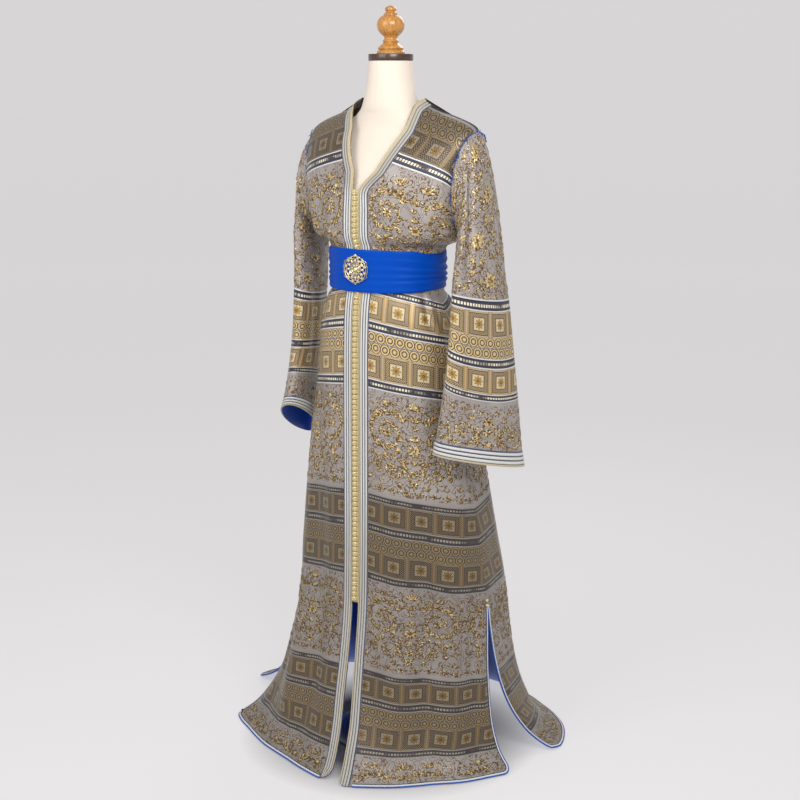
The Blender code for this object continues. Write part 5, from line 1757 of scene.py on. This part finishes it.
def buckle_reach(turn):
    corner = max(0.0, math.cos(3.0 * turn)) ** 10 + max(0.0, -math.cos(3.0 * turn)) ** 10
    wide = 0.0040 * math.sin(turn) ** 2
    tip = 0.0018 * abs(math.cos(turn)) ** 60
    return 0.0288 + wide + tip + 0.0018 * corner + 0.0007 * math.cos(18.0 * turn)


def flat_outline(curve, points):
    spline = curve.splines.new("POLY")
    spline.points.add(len(points) - 1)
    spline.use_cyclic_u = True
    for point, (x, y) in zip(spline.points, points):
        point.co = (x, y, 0.0, 1.0)


plate = bpy.data.curves.new("plate", "CURVE")
plate.dimensions, plate.fill_mode = "2D", "BOTH"
plate.extrude, plate.bevel_depth, plate.bevel_resolution = 0.0010, 0.0006, 1
outline = []
for k in range(240):
    turn = 2.0 * math.pi * k / 240
    reach = buckle_reach(turn) - plate.bevel_depth
    outline.append((reach * math.sin(turn), reach * math.cos(turn)))
flat_outline(plate, outline)
for count, reach, radius, shift in ((12, 0.0262, 0.0024, 0.5), (10, 0.0186, 0.0015, 0.5),
                                    (12, 0.0092, 0.0009, 0.0)):
    for k in range(count):
        middle = 2.0 * math.pi * (k + shift) / count
        flat_outline(plate, [(reach * math.sin(middle) + (radius + 0.0006) * math.cos(a),
                              reach * math.cos(middle) + (radius + 0.0006) * math.sin(a))
                             for a in np.linspace(0.0, 2 * math.pi, 12, endpoint=False)])
holder = placed("plate", plate)
graph = bpy.context.evaluated_depsgraph_get()
plate_mesh = bpy.data.meshes.new_from_object(holder.evaluated_get(graph), depsgraph=graph)
bpy.data.objects.remove(holder, do_unlink=True)


def on_buckle(x, y, z):
    """A point of the plate's own plane, z out of it, in the frame."""
    return (BUCKLE_AT.x + x, BUCKLE_AT.y - 0.0018 - z, BUCKLE_AT.z + y)


plate_mesh.materials.clear()
plate_mesh.materials.append(gilt_metal)
for vert in plate_mesh.vertices:
    vert.co = on_buckle(*vert.co)
turned_outwards(plate_mesh, 0.00001)
plate_mesh.set_sharp_from_angle(angle=math.radians(40))
buckle = placed("buckle_plate", plate_mesh)
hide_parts("buckle_plate")
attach(buckle, "root")


def wire_ring(reach, radius, twist=0, lift=0.0016, steps=96):
    points = []
    for k in range(steps):
        turn = 2.0 * math.pi * k / steps
        r = reach + (0.0006 * math.cos(twist * turn) if twist else 0.0)
        points.append(on_buckle(r * math.sin(turn), r * math.cos(turn), lift))
    return tube(points, radius, 6, closed=True)


def grain_ball(x, y, z, radius, tall=1.0):
    """A small cast bead on the plate."""
    shape = bmesh.new()
    bmesh.ops.create_icosphere(shape, subdivisions=2, radius=radius)
    verts = [on_buckle(x + v.co.x, y + v.co.y, z + v.co.z * tall) for v in shape.verts]
    faces = [[v.index for v in face.verts] for face in shape.faces]
    shape.free()
    return verts, faces


def petal(turn, start, end, half):
    """A raised petal between two distances from the boss."""
    rows, verts, faces = 6, [], []
    for k in range(rows + 1):
        s = k / rows
        r = start + (end - start) * s
        wide = half * math.sin(math.pi * min(0.97, 0.10 + 0.87 * s)) ** 0.8
        for side in (-1.0, -0.5, 0.0, 0.5, 1.0):
            b = side * wide
            hump = math.sin(math.pi * min(1.0, 0.05 + 0.95 * s))
            verts.append(on_buckle(r * math.sin(turn) + b * math.cos(turn),
                                   r * math.cos(turn) - b * math.sin(turn),
                                   0.0012 + 0.0012 * (1.0 - side * side) * hump))
    base = len(verts)
    for k in (0, rows):
        for side in (0, 4):
            x, y, z = verts[k * 5 + side]
            verts.append((x, BUCKLE_AT.y - 0.0020, z))
    for k in range(rows):
        for n in range(4):
            a = k * 5 + n
            faces.append([a, a + 1, a + 6, a + 5])
    left = [k * 5 for k in range(rows + 1)]
    right = [k * 5 + 4 for k in range(rows + 1)]
    faces.append([*left, base + 2, base])
    faces.append([*right, base + 3, base + 1])
    faces.append([0, 1, 2, 3, 4, base + 1, base])
    faces.append([*[rows * 5 + n for n in range(5)], base + 3, base + 2])
    faces.append([base, base + 1, base + 3, base + 2])
    return verts, faces


parts = [wire_ring(0.0284, 0.0007, 36), wire_ring(0.0228, 0.0007), wire_ring(0.0150, 0.0006),
         wire_ring(0.0118, 0.0007), wire_ring(0.0066, 0.0009, 0, 0.0020)]
parts += [petal(2.0 * math.pi * k / 12, 0.0156, 0.0222, 0.0024) for k in range(12)]
parts += [petal(2.0 * math.pi * (k + 0.5) / 8, 0.0072, 0.0114, 0.0019) for k in range(8)]
for count, reach, radius in ((18, 0.0240, 0.0008), (20, 0.0134, 0.0008)):
    for k in range(count):
        turn = 2.0 * math.pi * k / count
        parts.append(grain_ball(reach * math.sin(turn), reach * math.cos(turn), 0.0014, radius))
parts.append(grain_ball(0.0, 0.0, 0.0010, 0.0050, 0.62))
rosette = joined("buckle_rosette", parts, gilt_metal)
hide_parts("buckle_rosette")
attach(rosette, "root")


# ------------------------------------------------------------------ dress form
# A limbless form of papier mache under cream cotton jersey, seamed down both sides, the
# front and the back, with a dark stained cap, a turned beech finial and a steel stand.
FORM_TABLE = (
    # z, half_x, front_y, back_y, roundness
    (0.800, 0.128, -0.088, 0.092, 1.00),
    (0.812, 0.142, -0.100, 0.106, 0.97),
    (0.870, 0.152, -0.108, 0.120, 0.95),
    (0.950, 0.146, -0.108, 0.114, 0.95),
    (1.020, 0.128, -0.106, 0.096, 0.96),
    (1.090, 0.114, -0.103, 0.082, 0.97),
    (1.140, 0.116, -0.106, 0.082, 0.97),
    (1.200, 0.130, -0.115, 0.092, 0.95),
    (1.260, 0.146, -0.120, 0.103, 0.93),
    (1.310, 0.158, -0.110, 0.106, 0.93),
    (1.345, 0.164, -0.092, 0.094, 0.94),
    (1.378, 0.158, -0.070, 0.078, 0.96),
    (1.400, 0.138, -0.055, 0.064, 0.98),
    (1.418, 0.110, -0.050, 0.056, 1.00),
    (1.437, 0.082, -0.050, 0.051, 1.00),
    (1.455, 0.0670, -0.052, 0.0495, 1.00),
    (1.500, 0.0540, -0.049, 0.0485, 1.00),
    (1.548, 0.0475, -0.0475, 0.0475, 1.00),
)
FINIAL_PROFILE = (
    # radius, height over the cap
    (0.0010, 0.1010), (0.0070, 0.0995), (0.0115, 0.0960), (0.0125, 0.0915),
    (0.0100, 0.0885), (0.0120, 0.0860), (0.0150, 0.0845), (0.0155, 0.0810),
    (0.0220, 0.0770), (0.0275, 0.0700), (0.0298, 0.0610), (0.0280, 0.0510),
    (0.0225, 0.0430), (0.0160, 0.0370), (0.0135, 0.0320), (0.0165, 0.0290),
    (0.0180, 0.0260), (0.0160, 0.0230), (0.0205, 0.0190), (0.0255, 0.0150),
    (0.0280, 0.0115), (0.0255, 0.0085), (0.0285, 0.0065), (0.0305, 0.0030),
    (0.0300, 0.0003),
)
jersey, tree, shader = finish("cotton_jersey", 0.82)
x, y, z = object_axes(tree)
wales = (x.math("ARCTAN2", y) * 150.0).math("SINE") * z.waves(0.0016)
grain = mottle(tree, 600.0, 3.0)
paint(tree, shader, blend(grain * 0.5 - 0.05, (0.765, 0.675, 0.575), (0.63, 0.545, 0.45)))
shader.inputs["Sheen Weight"].default_value = 0.3
bump(tree, shader, wales * 0.4 + grain, 0.0004, 0.35)

FORM_ROWS, FORM_COLUMNS = 100, 128
form_rings = []
for place in np.linspace(0.0, len(FORM_TABLE) - 1.0, FORM_ROWS):
    z, half_x, front_y, back_y, roundness = smooth_rows(FORM_TABLE, place)
    turn = np.linspace(0.0, 2.0 * math.pi, FORM_COLUMNS, endpoint=False)
    ring_x = half_x * np.sign(np.sin(turn)) * np.abs(np.sin(turn)) ** roundness
    reach = np.where(np.cos(turn) > 0, front_y, back_y)
    ring_y = reach * np.abs(np.cos(turn)) ** roundness
    # a felled seam: a thread's width raised
    quarter_turn = np.abs((turn + 0.25 * math.pi) % (0.5 * math.pi) - 0.25 * math.pi)
    across = quarter_turn * half_x
    seam = 0.0007 * np.exp(-(across / 0.0016) ** 2)
    grow = 1.0 + seam / max(half_x, 0.03)
    form_rings.append(np.stack([ring_x * grow, ring_y * grow, np.full(FORM_COLUMNS, z)], axis=1))
verts = [tuple(point) for ring in form_rings for point in ring]
faces = []
for start in range(0, (FORM_ROWS - 1) * FORM_COLUMNS, FORM_COLUMNS):
    for n in range(FORM_COLUMNS):
        m = (n + 1) % FORM_COLUMNS
        faces.append([start + n, start + m, start + FORM_COLUMNS + m, start + FORM_COLUMNS + n])
faces.append(list(range(FORM_COLUMNS)))
faces.append([(FORM_ROWS - 1) * FORM_COLUMNS + n for n in range(FORM_COLUMNS)])
form = joined("dress_form", [(verts, faces)], jersey)
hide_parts("dress_form")
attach(form, "root")


def lathe(name, profile, material, base_z=0.0, steps=96):
    """A solid turned about the form's axis from a profile, top first, closed at its poles."""
    verts, faces = [(0.0, 0.0, base_z + profile[0][1])], []
    for radius, high in profile:
        for k in range(steps):
            turn = 2.0 * math.pi * k / steps
            verts.append((radius * math.cos(turn), radius * math.sin(turn), base_z + high))
    verts.append((0.0, 0.0, base_z + profile[-1][1]))
    for k in range(steps):
        n = (k + 1) % steps
        faces.append([0, 1 + k, 1 + n])
        last = 1 + (len(profile) - 1) * steps
        faces.append([last + k, len(verts) - 1, last + n])
        for row in range(len(profile) - 1):
            a = 1 + row * steps
            faces.append([a + k, a + steps + k, a + steps + n, a + n])
    piece = joined(name, [(verts, faces)], material)
    piece.data.set_sharp_from_angle(angle=math.radians(35))
    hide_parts(name)
    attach(piece, "root")
    return piece


def wood(name, pale, dark, rough, grain_scale):
    made, tree, shader = finish(name, rough)
    place = tree.nodes.new("ShaderNodeTexCoord")
    stretch = tree.nodes.new("ShaderNodeMapping")
    stretch.inputs["Scale"].default_value = (1.0, 1.0, 0.12)
    tree.links.new(place.outputs["Object"], stretch.inputs["Vector"])
    streak = tree.nodes.new("ShaderNodeTexNoise")
    streak.inputs["Scale"].default_value = grain_scale
    streak.inputs["Detail"].default_value = 5.0
    streak.inputs["Distortion"].default_value = 0.6
    tree.links.new(stretch.outputs[0], streak.inputs["Vector"])
    value = Socket(tree, streak.outputs[0])
    paint(tree, shader, blend((value - 0.38) * 3.2, pale, dark))
    shader.inputs["Coat Weight"].default_value = 0.5
    shader.inputs["Coat Roughness"].default_value = 0.18
    bump(tree, shader, value, 0.0003, 0.3)
    return made


beech = wood("turned_beech", (0.56, 0.266, 0.056), (0.31, 0.115, 0.020), 0.34, 240.0)
stained = wood("stained_cap", (0.060, 0.024, 0.011), (0.022, 0.008, 0.004), 0.36, 200.0)
CAP = ((0.0468, 1.5625), (0.0480, 1.5621), (0.0485, 1.5610), (0.0485, 1.5500), (0.0480, 1.5487),
       (0.0468, 1.5483))
lathe("neck_cap", CAP, stained)
smooth_profile = [smooth_rows(FINIAL_PROFILE, place)
                  for place in np.linspace(0.0, len(FINIAL_PROFILE) - 1.0, 121)]
smooth_profile = [(max(radius, 0.0004), high) for radius, high in smooth_profile]
lathe("finial", smooth_profile, beech, CAP[0][1])

brushed, tree, shader = finish("brushed_steel", 0.34, 1.0)
grain = mottle(tree, 500.0, 4.0)
paint(tree, shader, blend(grain, (0.42, 0.42, 0.43), (0.28, 0.28, 0.29)))
tree.links.new((grain * 0.2 + 0.26).output, shader.inputs["Roughness"])
bump(tree, shader, grain, 0.0001, 0.3)
POLE = ((0.0160, 0.7997), (0.0160, 0.1200), (0.0160, 0.0263))
lathe("pole", POLE, brushed)
FOOT = ((0.0285, 0.0260), (0.0300, 0.0254), (0.0318, 0.0235), (0.0350, 0.0190), (0.0380, 0.0178),
        (0.0700, 0.0150), (0.1090, 0.0121), (0.1330, 0.0092), (0.1390, 0.0062), (0.1400, 0.0040),
        (0.1400, 0.0000))
lathe("foot", FOOT, brushed)


# ------------------------------------------------------------------ the finished model
size = {"cad": cad_box, "visual": [[float(x) for x in corner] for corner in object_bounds()]}
